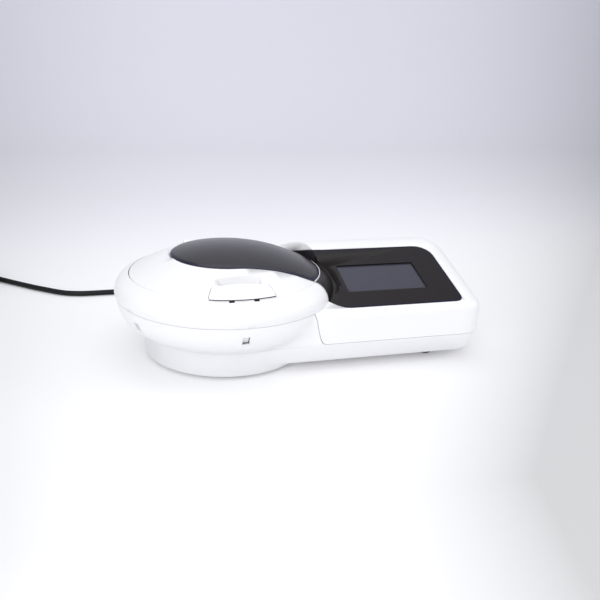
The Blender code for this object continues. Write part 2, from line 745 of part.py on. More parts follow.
def dress_each(things, name, finish_name):
    """Number and dress a set of like pieces."""
    return [dress(thing, f"{name}_{index + 1}", finish_name) for index, thing in enumerate(things)]


# Forms that several pieces share


def bowl_outline(depth):
    """Outside of the bowl and ring, from the middle of its floor to the lid opening."""
    coarser = 2 if depth > 0 else 1
    low_angle = -math.degrees(math.acos((FOOT_RADIUS + FOOT_CHAMFER - SWELL_CORE_RADIUS)
                                        / (SWELL_RADIUS - SWELL_CORE_RADIUS)))
    swell = arc((SWELL_CORE_RADIUS, SWELL_HEIGHT),
                (SWELL_RADIUS - SWELL_CORE_RADIUS, SWELL_DROP), low_angle, 0, SWELL_STEPS // coarser)
    shoulder_reach = BOWL_RADIUS - SHOULDER_CORE_RADIUS
    top_angle = math.degrees(math.acos((LID_OPENING_RADIUS - SHOULDER_CORE_RADIUS) / shoulder_reach))
    shoulder = arc((SHOULDER_CORE_RADIUS, BOWL_WIDEST_HEIGHT),
                   (shoulder_reach, SHOULDER_RISE), 0, top_angle, (SHOULDER_STEPS + 1) // coarser)
    outline = [(0, FOOT_BOTTOM), (FOOT_RADIUS - FOOT_CHAMFER, FOOT_BOTTOM),
               (FOOT_RADIUS, FOOT_BOTTOM + FOOT_CHAMFER), (FOOT_RADIUS, swell[0][1] - FOOT_CHAMFER)]
    outline += swell + shoulder + [(0, shoulder[-1][1])]
    return inset_chain(outline, depth)


def bowl_form(depth):
    """The bowl and ring as a solid, its surface moved inwards by a depth."""
    return turned("bowl_form", bowl_outline(depth), steps=HOLLOW_STEPS if depth > 0 else ROUND_STEPS)


def plane_height(y, depth=0.0):
    """Height of the console's sloping top at a distance from front to back."""
    crest_reach = (CREST_RADIUS - depth) / math.cos(PLANE_SLOPE)
    return CREST_HEIGHT + crest_reach + (y - CREST_Y) * math.tan(PLANE_SLOPE)


def console_outline(side, top):
    """Section of the console from the floor's front, up, over and down the back, as (y, z)."""
    wall_y = CONSOLE_HALF_DEPTH - side
    floor_y = CONSOLE_FLOOR_HALF_DEPTH - side
    floor = CONSOLE_FLOOR + top
    shift = (side - top) / (1 + math.sin(PLANE_SLOPE))
    crest_radius = CREST_RADIUS - top - shift * math.sin(PLANE_SLOPE)
    crest_y = CREST_Y - shift
    edge_round = max(FRONT_EDGE_ROUND - top, FRONT_EDGE_ROUND / 4)
    corner_height = plane_height(-wall_y, top)
    tangent = edge_round * math.tan((math.pi / 2 - PLANE_SLOPE) / 2)
    front = arc((-wall_y + edge_round, corner_height - tangent), (edge_round, edge_round),
                180, 90 + math.degrees(PLANE_SLOPE), 4)
    crest = arc((crest_y, CREST_HEIGHT), (crest_radius, crest_radius),
                90 + math.degrees(PLANE_SLOPE), 0, 9)
    rise = CONSOLE_FLOOR_ROUND
    outline = [(-floor_y + rise, floor), (-floor_y, floor + rise), (-wall_y, CONSOLE_SEAM_HEIGHT)]
    outline += front + crest
    outline += [(wall_y, CONSOLE_SEAM_HEIGHT), (floor_y, floor + rise), (floor_y - rise, floor)]
    return outline


def console_form(depth):
    """The console as a solid from the bowl's axis to its rounded right end."""
    rings = [[(BOWL_X, y, z) for y, z in console_outline(depth, depth)]]
    body = console_outline(depth, depth)
    end = console_outline(END_ROUND, END_DROP)
    centre_x = RIGHT_END - END_ROUND
    reach = END_ROUND - depth
    for step in range(END_STEPS + 1):
        angle = math.pi / 2 * step / END_STEPS
        share = 1 - math.cos(angle)
        rings.append([(centre_x + reach * math.sin(angle), by + (ey - by) * share, bz + (ez - bz) * share)
                      for (by, bz), (ey, ez) in zip(body, end)])
    return loft("console_form", rings, flat_sides=False)


def flare_form(depth):
    """Space round the lid, which the console's top leaves free."""
    radius = LID_OPENING_RADIUS + depth
    low = RING_TOP - SHOULDER_RISE / 2
    return turned("flare_form", [(0, low), (radius, low), (radius, RING_TOP),
                                 (radius + FLARE_SPREAD, RING_TOP + FLARE_RISE), (0, RING_TOP + FLARE_RISE)])


def moat_form(depth):
    """Crescent groove between the ring's shoulder and the panel."""
    centre = (BOWL_X + MOAT_CENTRE[0], MOAT_CENTRE[1])
    rim = arc(centre, (MOAT_RADIUS + depth, MOAT_RADIUS + depth), 0, 360, ROUND_STEPS)[:-1]
    floor = [(x, y, plane_height(y, depth + MOAT_DEPTH)) for x, y in rim]
    top = [(x, y, RING_TOP + OVERRUN) for x, y in rim]
    return loft("moat_form", [floor, top])


def housing_form(depth):
    """Whole body without the groove, its surface moved inwards by a depth."""
    return join(cut(console_form(depth), flare_form(depth)), bowl_form(depth))


def panel_form(depth):
    """Whole body with the groove that only the panel shows."""
    return join(cut(console_form(depth), moat_form(depth), flare_form(depth)), bowl_form(depth))


def panel_outline(margin):
    """The panel seen from above, grown by a margin."""
    right = RIGHT_END - PANEL_END_MARGIN + margin
    front = PANEL_FRONT_Y - margin
    back = PANEL_BACK_Y + margin
    start = (BOWL_X + PANEL_CURVE_START[0], PANEL_CURVE_START[1] - margin)
    pull = (BOWL_X + PANEL_CURVE_START_PULL[0], PANEL_CURVE_START_PULL[1] - margin)
    end_pull = (BOWL_X + PANEL_CURVE_END_PULL[0], front)
    end = (BOWL_X + PANEL_CURVE_END_X, front)
    outline = [(BOWL_X + PANEL_INNER_X, back), (BOWL_X + PANEL_INNER_X, start[1]),
               (BOWL_X + PANEL_START_X, start[1]), start]
    outline += bezier(start, pull, end_pull, end, 8)
    outline += arc((right - PANEL_FRONT_CORNER, front + PANEL_FRONT_CORNER),
                   (PANEL_FRONT_CORNER, PANEL_FRONT_CORNER), -90, 0, 4)
    outline += arc((right - PANEL_BACK_CORNER, back - PANEL_BACK_CORNER),
                   (PANEL_BACK_CORNER, PANEL_BACK_CORNER), 0, 90, 5)
    return outline


def panel_prism(margin):
    return prism("panel_prism", panel_outline(margin), LEDGE_TOP - OVERRUN, RING_TOP + OVERRUN)


def panel_space(margin):
    """The panel's room, with the horn that follows the flare behind the panel's back edge."""
    start = PANEL_BACK_Y - PANEL_HORN_LAP
    tip = PANEL_BACK_Y + PANEL_HORN_REACH + margin
    fall = (plane_height(PANEL_BACK_Y) - RING_TOP) / PANEL_HORN_REACH
    horn = prism_along_x("panel_horn", [(start, LEDGE_TOP - OVERRUN / 2), (tip, LEDGE_TOP - OVERRUN / 2),
                                        (tip, RING_TOP + margin),
                                        (start, RING_TOP + margin + fall * (tip - start))],
                         BOWL_X + PANEL_INNER_X + PANEL_HORN_LAP,
                         BOWL_X + LID_OPENING_RADIUS + FLARE_SPREAD + margin)
    return join(panel_prism(margin), horn)


def parting_solid(name, above, gap):
    """All space above or below the parting line between the two housings."""
    fall = FOOT_SEAM_HEIGHT - CONSOLE_SEAM_HEIGHT
    shift = gap / 2 if above else -gap / 2
    line = [(BOWL_X + BOWL_RADIUS * x + shift, FOOT_SEAM_HEIGHT - fall * z + shift)
            for x, z in zip(PARTING_X_SHARES, PARTING_FALL_SHARES)]
    left = -RIGHT_END - OVERRUN
    right = RIGHT_END + OVERRUN
    far = RING_TOP + OVERRUN + OVERRUN if above else -OVERRUN
    outline = [(left, far), (left, line[0][1])] + line + [(right, line[-1][1]), (right, far)]
    return prism_along_y(name, outline, -BOWL_RADIUS - OVERRUN, BOWL_RADIUS + OVERRUN)


def lid_opening_cut():
    """The lid's place in the ring, down to the ledge."""
    return turned("lid_opening_cut", [(0, LEDGE_TOP), (LID_OPENING_RADIUS, LEDGE_TOP),
                                      (LID_OPENING_RADIUS, RING_TOP + OVERRUN + OVERRUN),
                                      (0, RING_TOP + OVERRUN + OVERRUN)])


# Housings


def build_lower_housing():
    body = housing_form(0)
    trim(body, parting_solid("below", False, SEAM_GAP))
    cut(body, housing_form(WALL))
    standoffs = [post("standoff", x, y, STANDOFF_RADIUS, low, low + STANDOFF_HEIGHT + WALL / 2)
                 for x, y, low in standoff_places()]
    join(body, *standoffs)
    for angle in SNAP_ANGLES:
        cut(body, radial_block("snap_window", angle, SWELL_CORE_RADIUS, BOWL_RADIUS + OVERRUN,
                               SNAP_WINDOW_WIDTH, SNAP_WINDOW_LOW, SNAP_WINDOW_HIGH))
    for x, y in SCREW_PLACES:
        cut(body, post("screw_hole", x, y, SCREW_BORE_RADIUS, 0, CONSOLE_FLOOR + OVERRUN),
            post("screw_recess", x, y, SCREW_RECESS_RADIUS, 0, CONSOLE_FLOOR + SCREW_RECESS))
    dress(body, "lower_housing", "white_casing")


def snap_tab(angle):
    """A hooked tab that hangs from the upper housing and snaps into a window of the lower one."""
    outline = [(BOWL_X + BOWL_RADIUS * across, FOOT_SEAM_HEIGHT * up) for across, up in SNAP_TAB_SHARES]
    tab = prism_along_y("snap_tab", outline, -SNAP_TAB_WIDTH / 2, SNAP_TAB_WIDTH / 2)
    return turn_about_bowl(tab, angle)


def rear_cuts():
    """Places in the back wall for the vents, the inlet, the switch and the data socket."""
    cuts = []
    for index in range(VENT_COUNT):
        x = VENT_X + (index - (VENT_COUNT - 1) / 2) * VENT_PITCH
        cuts.append(rear_block("vent_cut", x, VENT_WIDTH, VENT_LOW, VENT_HIGH))
    for x, width, height in ((INLET_X, INLET_WIDTH, INLET_HEIGHT), (SWITCH_X, SWITCH_WIDTH, SWITCH_HEIGHT),
                             (SOCKET_X, SOCKET_WIDTH, SOCKET_HEIGHT)):
        low = REAR_HEIGHT - height / 2 - TOUCH_GAP
        cuts.append(rear_block("rear_cut", x, width + 2 * TOUCH_GAP, low, low + height + 2 * TOUCH_GAP))
    return cuts


def rear_block(name, x, width, low, high):
    """A cutter through the back wall."""
    return block(name, (x - width / 2, CONSOLE_HALF_DEPTH - OVERRUN / 3, low),
                 (x + width / 2, CONSOLE_HALF_DEPTH + OVERRUN, high))


def fan_corners():
    reach = FAN_SIZE / 2 - FAN_BOSS_INSET
    middle = (VENT_X, VENT_LOW - FAN_BOSS_INSET + FAN_SIZE / 2)
    return [(middle[0] + side * reach, middle[1] + rise * reach) for side in (-1, 1) for rise in (-1, 1)]


def build_upper_housing():
    shell = housing_form(0)
    trim(shell, parting_solid("above", True, SEAM_GAP))
    collar = turned("collar", [(0, LEDGE_TOP - LEDGE_THICKNESS),
                               (LID_OPENING_RADIUS + COLLAR_WALL, LEDGE_TOP - LEDGE_THICKNESS),
                               (LID_OPENING_RADIUS + COLLAR_WALL, RING_TOP + OVERRUN),
                               (0, RING_TOP + OVERRUN)])
    hollow = cut(housing_form(WALL), collar)
    cut(shell, hollow)
    ledge = trim(panel_form(WALL / 2), panel_space(WALL / 2))
    cut(ledge, panel_form(PANEL_THICKNESS + TOUCH_GAP + PANEL_LEDGE_THICKNESS), panel_prism(-PANEL_LEDGE))
    join(shell, ledge)
    pocket = cut(panel_space(TOUCH_GAP), panel_form(PANEL_THICKNESS + TOUCH_GAP))
    cut(shell, pocket)
    well_hole = turned("well_hole", [(0, FOOT_BOTTOM), (LEDGE_INNER_RADIUS, FOOT_BOTTOM),
                                     (LEDGE_INNER_RADIUS, RING_TOP), (0, RING_TOP)])
    cut(shell, lid_opening_cut(), well_hole)
    for side in (-1, 1):
        cut(shell, hook_slot(side))
    bosses = [rod_along_y("fan_boss", x, z, FAN_BOSS_RADIUS, FAN_BACK_Y + TOUCH_GAP,
                          FAN_BACK_Y + FAN_BOSS_REACH) for x, z in fan_corners()]
    posts = [post("screw_post", x, y, SCREW_POST_RADIUS, CONSOLE_FLOOR + WALL + TOUCH_GAP, RING_TOP + OVERRUN)
             for x, y in SCREW_PLACES]
    join(shell, *(trim(each, housing_form(WALL / 2)) for each in (gather(*bosses), gather(*posts))))
    join(shell, *(snap_tab(angle) for angle in SNAP_ANGLES))
    screw_bores = [post("screw_bore", x, y, SCREW_BORE_RADIUS, 0, CONSOLE_FLOOR + SCREW_RECESS + SCREW_LENGTH)
                   for x, y in SCREW_PLACES]
    cut(shell, gather(*screw_bores), *rear_cuts())
    dress(shell, "upper_housing", "white_casing")


def hook_slot(side):
    """Slot in the ring's lip and ledge for one hook of the latch."""
    x = BOWL_X + side * HOOK_SPACING / 2
    return block("hook_slot", (x - HOOK_SLOT_WIDTH / 2, HOOK_SLOT_FRONT_Y, LEDGE_TOP - OVERRUN / 2),
                 (x + HOOK_SLOT_WIDTH / 2, HOOK_SLOT_BACK_Y, RING_TOP + OVERRUN))


def screen_outline(margin):
    """The screen's outline, as seen from above, grown by a margin."""
    half_depth = SCREEN_DEPTH / 2 + margin
    return rounded_box(SCREEN_LEFT - margin, SCREEN_RIGHT + margin, SCREEN_CENTRE_Y - half_depth,
                       SCREEN_CENTRE_Y + half_depth, SCREEN_CORNER, 2)


def tilted_plate(name, outline, top_depth, bottom_depth):
    """A plate parallel to the console's slope, between two depths under it."""
    rings = []
    for depth in (bottom_depth, top_depth):
        rings.append([(x, y + depth * math.sin(PLANE_SLOPE), plane_height(y) - depth * math.cos(PLANE_SLOPE))
                      for x, y in outline])
    return loft(name, rings)


def build_console_panel():
    panel = trim(panel_form(0), panel_space(0))
    cut(panel, panel_form(PANEL_THICKNESS), lid_opening_cut(),
        tilted_plate("screen_opening", screen_outline(0), -OVERRUN / 3, PANEL_THICKNESS + OVERRUN / 3),
        tilted_plate("glass_pocket", screen_outline(GLASS_MARGIN + TOUCH_GAP), SCREEN_RECESS,
                     PANEL_THICKNESS + OVERRUN / 3))
    dress(panel, "console_panel", "black_panel")


def build_screen():
    top = SCREEN_RECESS + TOUCH_GAP
    glass = tilted_plate("display_glass", screen_outline(GLASS_MARGIN), top, top + GLASS_THICKNESS)
    dress(glass, "display_glass", "screen_glass")
    top += GLASS_THICKNESS + TOUCH_GAP
    module = tilted_plate("display_module", screen_outline(DISPLAY_MARGIN), top, top + DISPLAY_THICKNESS)
    dress(module, "display_module", "dark_plastic")


# Lid


DOME_RADIUS = (LID_RADIUS ** 2 + LID_RISE ** 2) / (2 * LID_RISE)
DOME_CENTRE_HEIGHT = RING_TOP + LID_RISE - DOME_RADIUS


def dome_height(radius, depth=0.0):
    """Height of the lid's crown, moved inwards by a depth, at a distance from its axis."""
    return DOME_CENTRE_HEIGHT + math.sqrt((DOME_RADIUS - depth) ** 2 - radius ** 2)


def dome_outline(depth, low):
    """Crown from the axis to its side, then down the side."""
    radius = LID_RADIUS - depth
    steps = (DOME_STEPS + 1) // 2 if depth > 0 else DOME_STEPS
    crown = [(radius * step / steps, dome_height(radius * step / steps, depth)) for step in range(steps)]
    inner = radius - LID_EDGE
    return crown + [(inner, dome_height(inner, depth)), (radius, dome_height(radius, depth) - LID_EDGE),
                    (radius, low)]


def dome_solid(depth):
    """Everything under the crown, its surface moved inwards by a depth."""
    low = LID_SKIRT_BOTTOM - OVERRUN
    return turned("dome_solid", dome_outline(depth, low) + [(0, low)])


def lid_wall_form():
    """The lid's crown and skirt as a shell."""
    return turned("lid_wall_form", dome_outline(0, LID_SKIRT_BOTTOM)
                  + dome_outline(LID_WALL, LID_SKIRT_BOTTOM)[::-1])


def inlay_angles(margin):
    """Angles round the inlay, which meet its corners at the lid's edge."""
    corner = math.degrees(math.asin((INLAY_HALF_DEPTH + margin) / (LID_RADIUS + margin)))
    angles = []
    for start, end, steps in ((-corner, corner, 12), (corner, 90, 6), (90, 270, 24), (270, 360 - corner, 6)):
        angles += [math.radians(start + (end - start) * step / steps) for step in range(steps)]
    return angles


def inlay_reach(angle, margin):
    """Distance from the lid's axis to the inlay's edge at an angle."""
    half_depth = INLAY_HALF_DEPTH + margin
    if math.cos(angle) < 0:
        return 1 / math.hypot(math.cos(angle) / (INLAY_RADIUS + margin), math.sin(angle) / half_depth)
    edge = LID_RADIUS + margin
    if abs(math.sin(angle)) * edge <= half_depth:
        return edge
    return half_depth / abs(math.sin(angle))


def inlay_form(name, margin, band, top_depth, edge_depth, bottom_depth):
    """A curved plate on the lid's crown, with a sloping border."""
    angles = inlay_angles(margin)

    def ring(share, border, depth):
        reaches = [(inlay_reach(angle, margin) - border) * share for angle in angles]
        return [(BOWL_X + reach * math.cos(angle), reach * math.sin(angle), dome_height(reach, depth))
                for angle, reach in zip(angles, reaches)]

    rings = [ring(share, band, top_depth) for share in INLAY_RING_SHARES]
    rings.append(ring(1, 0, edge_depth))
    rings += [ring(share, 0, bottom_depth) for share in reversed(INLAY_RING_SHARES)]
    return loft(name, rings, flat_sides=False)


def crescent_form():
    """Hollow in the crown along the inlay's left tip, deepest at the inlay."""
    seat = INLAY_RADIUS - CRESCENT_SEAT
    rings = []
    for angle, share in zip(CRESCENT_ANGLES, CRESCENT_REACH_SHARES):
        turn = math.radians(angle)
        reach = INLAY_RADIUS * share
        section = [(seat, dome_height(seat, CRESCENT_DEPTH)), (reach, dome_height(reach, -TOUCH_GAP)),
                   (reach, RING_TOP + LID_RISE + OVERRUN), (seat, RING_TOP + LID_RISE + OVERRUN)]
        rings.append([(BOWL_X + radius * math.cos(turn), radius * math.sin(turn), height)
                      for radius, height in section])
    return loft("crescent_form", rings, flat_sides=False)


def latch_prism(margin, low):
    """The lever's outline from above, grown by a margin, as an upright cutter."""
    half = LATCH_WIDTH / 2 + margin
    top_half = LATCH_TOP_WIDTH / 2 + margin
    front = -LID_OPENING_RADIUS - OVERRUN
    top_y = LATCH_TOP_Y + margin
    return prism("latch_prism", [(BOWL_X - half, front), (BOWL_X + half, front), (BOWL_X + half, LATCH_SIDE_Y),
                                 (BOWL_X + top_half, top_y), (BOWL_X - top_half, top_y),
                                 (BOWL_X - half, LATCH_SIDE_Y)], low, RING_TOP + LID_RISE + OVERRUN)


def scoop_prism(margin, low):
    """The finger scoop's outline from above, grown by its wall, as an upright solid."""
    half = SCOOP_WIDTH / 2 + margin
    return prism("scoop_prism", rounded_box(BOWL_X - half, BOWL_X + half, SCOOP_FRONT_Y - margin,
                                            SCOOP_BACK_Y + margin, SCOOP_CORNER), low,
                 RING_TOP + LID_RISE + OVERRUN)


def hinge_arm(side):
    """Arm behind the lid that ends in a hinge knuckle."""
    inner = HINGE_BLOCK_WIDTH / 2 + HINGE_SIDE_GAP
    low, high = sorted((side * inner, side * (inner + HINGE_ARM_WIDTH)))
    knuckle = arc((HINGE_Y, HINGE_HEIGHT), (HINGE_KNUCKLE_RADIUS, HINGE_KNUCKLE_RADIUS),
                  HINGE_ARM_START, 450, 12)
    outline = [(HINGE_ARM_FRONT_Y, HINGE_ARM_BOTTOM)] + knuckle + [(HINGE_ARM_FRONT_Y, HINGE_ARM_FRONT_TOP)]
    return prism_along_x("hinge_arm", outline, BOWL_X + low, BOWL_X + high)


def hinge_bore():
    reach = HINGE_BLOCK_WIDTH / 2 + HINGE_ARM_WIDTH + OVERRUN
    return rod_along_x("hinge_bore", HINGE_Y, HINGE_HEIGHT, HINGE_BORE_RADIUS, BOWL_X - reach, BOWL_X + reach)


def liner_screw_places():
    reach_x = LINER_SCREW_RADIUS * math.cos(LINER_SCREW_ANGLE)
    reach_y = LINER_SCREW_RADIUS * math.sin(LINER_SCREW_ANGLE)
    return [(BOWL_X + side * reach_x, rise * reach_y) for side in (-1, 1) for rise in (-1, 1)]


LINER_TOP = LID_SKIRT_BOTTOM + LINER_THICKNESS


def build_lid_shell():
    lid = lid_wall_form()
    cup = scoop_prism(SCOOP_WALL, SCOOP_FLOOR - SCOOP_WALL)
    bosses = [post("liner_boss", x, y, LINER_BOSS_RADIUS, LINER_TOP + TOUCH_GAP, RING_TOP + LID_RISE)
              for x, y in liner_screw_places()]
    join(lid, *(trim(each, dome_solid(LID_WALL / 2)) for each in (cup, *bosses)))
    join(lid, hinge_arm(-1), hinge_arm(1))
    notch = cut(latch_prism(LATCH_GAP, LID_SKIRT_BOTTOM - OVERRUN / 2), dome_solid(LID_WALL + LATCH_CLEARANCE))
    cut(lid, notch, scoop_prism(0, SCOOP_FLOOR), hinge_bore())
    cut(lid, inlay_form("inlay_pocket", TOUCH_GAP, 0, -OVERRUN, -OVERRUN,
                        INLAY_THICKNESS - INLAY_PROUD + TOUCH_GAP), crescent_form())
    bores = [post("liner_screw_bore", x, y, LINER_SCREW_BORE, LID_SKIRT_BOTTOM, LID_SKIRT_BOTTOM
                  + LINER_SCREW_LENGTH) for x, y in liner_screw_places()]
    cut(lid, gather(*bores))
    return dress(lid, "lid_shell", "white_casing")


def build_lid_inlay():
    inlay = inlay_form("lid_inlay", 0, INLAY_BAND, -INLAY_PROUD, -INLAY_EDGE_PROUD,
                       INLAY_THICKNESS - INLAY_PROUD)
    return dress(inlay, "lid_inlay", "dark_gloss")


def build_hinge():
    outline = [(HINGE_Y - HINGE_KNUCKLE_RADIUS, HINGE_BLOCK_LOW), (HINGE_BLOCK_BACK_Y, HINGE_BLOCK_LOW),
               (HINGE_BLOCK_BACK_Y, HINGE_BLOCK_BACK_TOP)]
    outline += arc((HINGE_Y, HINGE_HEIGHT), (HINGE_KNUCKLE_RADIUS, HINGE_KNUCKLE_RADIUS), 0, 180, 8)
    half = HINGE_BLOCK_WIDTH / 2
    hinge = prism_along_x("hinge_block", outline, BOWL_X - half, BOWL_X + half)
    cut(hinge, bowl_form(-TOUCH_GAP), hinge_bore())
    dress(hinge, "hinge_block", "white_casing")
    reach = half + HINGE_SIDE_GAP + HINGE_ARM_WIDTH
    pin = rod_along_x("hinge_pin", HINGE_Y, HINGE_HEIGHT, HINGE_PIN_RADIUS, BOWL_X - reach, BOWL_X + reach)
    dress(pin, "hinge_pin", "steel")


def latch_lug(side):
    """Ear on the liner that carries the latch pin."""
    low, high = sorted((side * LATCH_LUG_INNER_X, side * (LATCH_LUG_INNER_X + LATCH_LUG_WIDTH)))
    ear = rod_along_x("latch_lug", LATCH_AXIS_Y, LATCH_AXIS_HEIGHT, LATCH_BARREL_RADIUS,
                      BOWL_X + low, BOWL_X + high)
    arm = block("latch_arm", (BOWL_X + low, LATCH_AXIS_Y, LID_SKIRT_BOTTOM),
                (BOWL_X + high, LINER_LATCH_Y + LATCH_BARREL_RADIUS, LINER_TOP))
    return join(ear, arm)


def spring_places():
    return [(BOWL_X + x * POST_SPACING_X / 2, y * POST_SPACING_Y / 2) for x in (-1, 1) for y in (-1, 1)]


def build_liner():
    liner = turned("lid_liner", [(0, LID_SKIRT_BOTTOM), (LINER_RADIUS, LID_SKIRT_BOTTOM),
                                 (LINER_RADIUS, LINER_TOP), (0, LINER_TOP)], steps=HOLLOW_STEPS)
    half = LINER_LATCH_WIDTH / 2
    cut(liner, block("latch_space", (BOWL_X - half, -LID_OPENING_RADIUS, LID_SKIRT_BOTTOM - OVERRUN),
                     (BOWL_X + half, LINER_LATCH_Y, LINER_TOP + OVERRUN)))
    join(liner, latch_lug(-1), latch_lug(1))
    cut(liner, rod_along_x("latch_bore", LATCH_AXIS_Y, LATCH_AXIS_HEIGHT, LATCH_BORE_RADIUS,
                           BOWL_X - half, BOWL_X + half))
    for x, y in spring_places():
        join(liner, post("cup", x, y, CUP_RADIUS, LID_SKIRT_BOTTOM, CUP_TOP))
        cut(liner, post("cup_room", x, y, CUP_RADIUS - CUP_WALL, LID_SKIRT_BOTTOM - OVERRUN, CUP_TOP - CUP_WALL),
            post("cup_bore", x, y, CUP_BORE_RADIUS, LID_SKIRT_BOTTOM, CUP_TOP + OVERRUN))
    bores = [post("liner_bore", x, y, LINER_SCREW_BORE, LID_SKIRT_BOTTOM - OVERRUN, LINER_TOP + OVERRUN)
             for x, y in liner_screw_places()]
    cut(liner, gather(*bores), plunger_cuts())
    return dress(liner, "lid_liner", "grey_plastic")


def build_liner_screws():
    screws = []
    for x, y in liner_screw_places():
        head = LID_SKIRT_BOTTOM - TOUCH_GAP
        screws.append(join(post("liner_screw", x, y, LINER_SCREW_SHANK, head - LINER_SCREW_HEAD_HEIGHT / 2,
                                head + LINER_SCREW_LENGTH - LINER_SCREW_HEAD_HEIGHT),
                           post("liner_screw_head", x, y, LINER_SCREW_HEAD, head - LINER_SCREW_HEAD_HEIGHT, head)))
    return dress_each(screws, "liner_screw", "steel")


# Latch


def build_latch():
    lever = trim(lid_wall_form(), latch_prism(0, LID_SKIRT_BOTTOM - OVERRUN / 2))
    half = LATCH_BARREL_WIDTH / 2
    rib = block("latch_rib", (BOWL_X - half, LATCH_AXIS_Y - LATCH_RIB_THICKNESS / 2, LATCH_AXIS_HEIGHT),
                (BOWL_X + half, LATCH_AXIS_Y + LATCH_RIB_THICKNESS / 2, RING_TOP + LID_RISE))
    barrel = rod_along_x("latch_barrel", LATCH_AXIS_Y, LATCH_AXIS_HEIGHT, LATCH_BARREL_RADIUS,
                         BOWL_X - half, BOWL_X + half)
    join(lever, trim(rib, dome_solid(LID_WALL / 2)), barrel)
    for side in (-1, 1):
        x = BOWL_X + side * HOOK_SPACING / 2
        low_x = x - HOOK_WIDTH / 2
        high_x = x + HOOK_WIDTH / 2
        hook = block("latch_hook", (low_x, HOOK_FRONT_Y, HOOK_BOTTOM),
                     (high_x, HOOK_FRONT_Y + HOOK_THICKNESS, LID_SKIRT_BOTTOM + LID_WALL / 2))
        nose_low = HOOK_NOSE_TOP - HOOK_NOSE_HEIGHT
        seat = HOOK_FRONT_Y + HOOK_THICKNESS / 2
        nose = prism_along_x("hook_nose", [(seat, nose_low), (HOOK_FRONT_Y, nose_low),
                                           (HOOK_FRONT_Y - HOOK_NOSE, HOOK_NOSE_TOP - HOOK_NOSE_HEIGHT / 2),
                                           (HOOK_FRONT_Y - HOOK_NOSE, HOOK_NOSE_TOP), (seat, HOOK_NOSE_TOP)],
                             low_x, high_x)
        join(lever, hook, nose)
    cut(lever, rod_along_x("latch_bore", LATCH_AXIS_Y, LATCH_AXIS_HEIGHT, LATCH_BORE_RADIUS,
                           BOWL_X - LATCH_WIDTH / 2, BOWL_X + LATCH_WIDTH / 2))
    return dress(lever, "latch_lever", "white_casing")


def build_latch_pin():
    pin = rod_along_x("latch_pin", LATCH_AXIS_Y, LATCH_AXIS_HEIGHT, LATCH_PIN_RADIUS,
                      BOWL_X - LATCH_PIN_LENGTH / 2, BOWL_X + LATCH_PIN_LENGTH / 2)
    return dress(pin, "latch_pin", "steel")


def build_latch_spring():
    """Torsion spring on one end of the latch pin."""
    start = BOWL_X + LATCH_LUG_INNER_X + LATCH_LUG_WIDTH + LATCH_SPRING_WIRE
    points = helix(LATCH_SPRING_RADIUS, LATCH_SPRING_LENGTH, LATCH_SPRING_CURLS, 8)
    places = [(start + rise, LATCH_AXIS_Y + across, LATCH_AXIS_HEIGHT + up) for across, up, rise in points]
    return dress(wire("latch_spring", places, LATCH_SPRING_WIRE / 2, 1), "latch_spring", "steel")


def build_latch_catches():
    """Metal catches seated in the ring's slots, over the hooks' noses."""
    catches = []
    width = HOOK_SLOT_WIDTH - 2 * TOUCH_GAP
    front = HOOK_SLOT_FRONT_Y + TOUCH_GAP
    for side in (-1, 1):
        x = BOWL_X + side * HOOK_SPACING / 2
        catches.append(block("latch_catches", (x - width / 2, front, CATCH_BOTTOM),
                             (x + width / 2, front + CATCH_DEPTH, CATCH_BOTTOM + CATCH_HEIGHT)))
    dress_each(catches, "latch_catch", "steel")


# Pressure plate


def build_pressure_plate():
    half_width = PLATE_WIDTH / 2
    half_depth = PLATE_DEPTH / 2
    plate = prism("pressure_plate", rounded_box(BOWL_X - half_width, BOWL_X + half_width, -half_depth, half_depth,
                                                PLATE_CORNER), PLATE_TOP - PLATE_THICKNESS, PLATE_TOP)
    for x, y in spring_places():
        join(plate, post("guide_post", x, y, POST_RADIUS, PLATE_TOP - PLATE_THICKNESS / 2,
                         CUP_TOP + TOUCH_GAP + POST_HEAD_HEIGHT),
             post("post_head", x, y, POST_HEAD_RADIUS, CUP_TOP + TOUCH_GAP,
                  CUP_TOP + TOUCH_GAP + POST_HEAD_HEIGHT))
    return dress(plate, "pressure_plate", "grey_plastic")


def build_pressure_pad():
    half_width = PAD_WIDTH / 2
    half_depth = PAD_DEPTH / 2
    top = PLATE_TOP - PLATE_THICKNESS - TOUCH_GAP
    pad = prism("pressure_pad", rounded_box(BOWL_X - half_width, BOWL_X + half_width, -half_depth, half_depth,
                                            PAD_CORNER, 3), top - PAD_THICKNESS, top)
    return dress(pad, "pressure_pad", "pad_foam")


SPRING_LOW = PLATE_TOP + TOUCH_GAP
SPRING_HIGH = CUP_TOP - CUP_WALL - TOUCH_GAP


def build_pressure_springs():
    springs = []
    radius = SPRING_WIRE / 2
    for x, y in spring_places():
        points = helix(SPRING_RADIUS, SPRING_HIGH - SPRING_LOW - SPRING_WIRE, SPRING_CURLS, 8)
        places = [(x + across, y + along, SPRING_LOW + radius + rise) for across, along, rise in points]
        springs.append(wire("pressure_springs", places, radius, 1))
    return dress_each(springs, "pressure_spring", "steel")


# Well


def contact_places():
    return [(BOWL_X + CONTACT_X, side * CONTACT_SPACING / 2) for side in (-1, 1)]


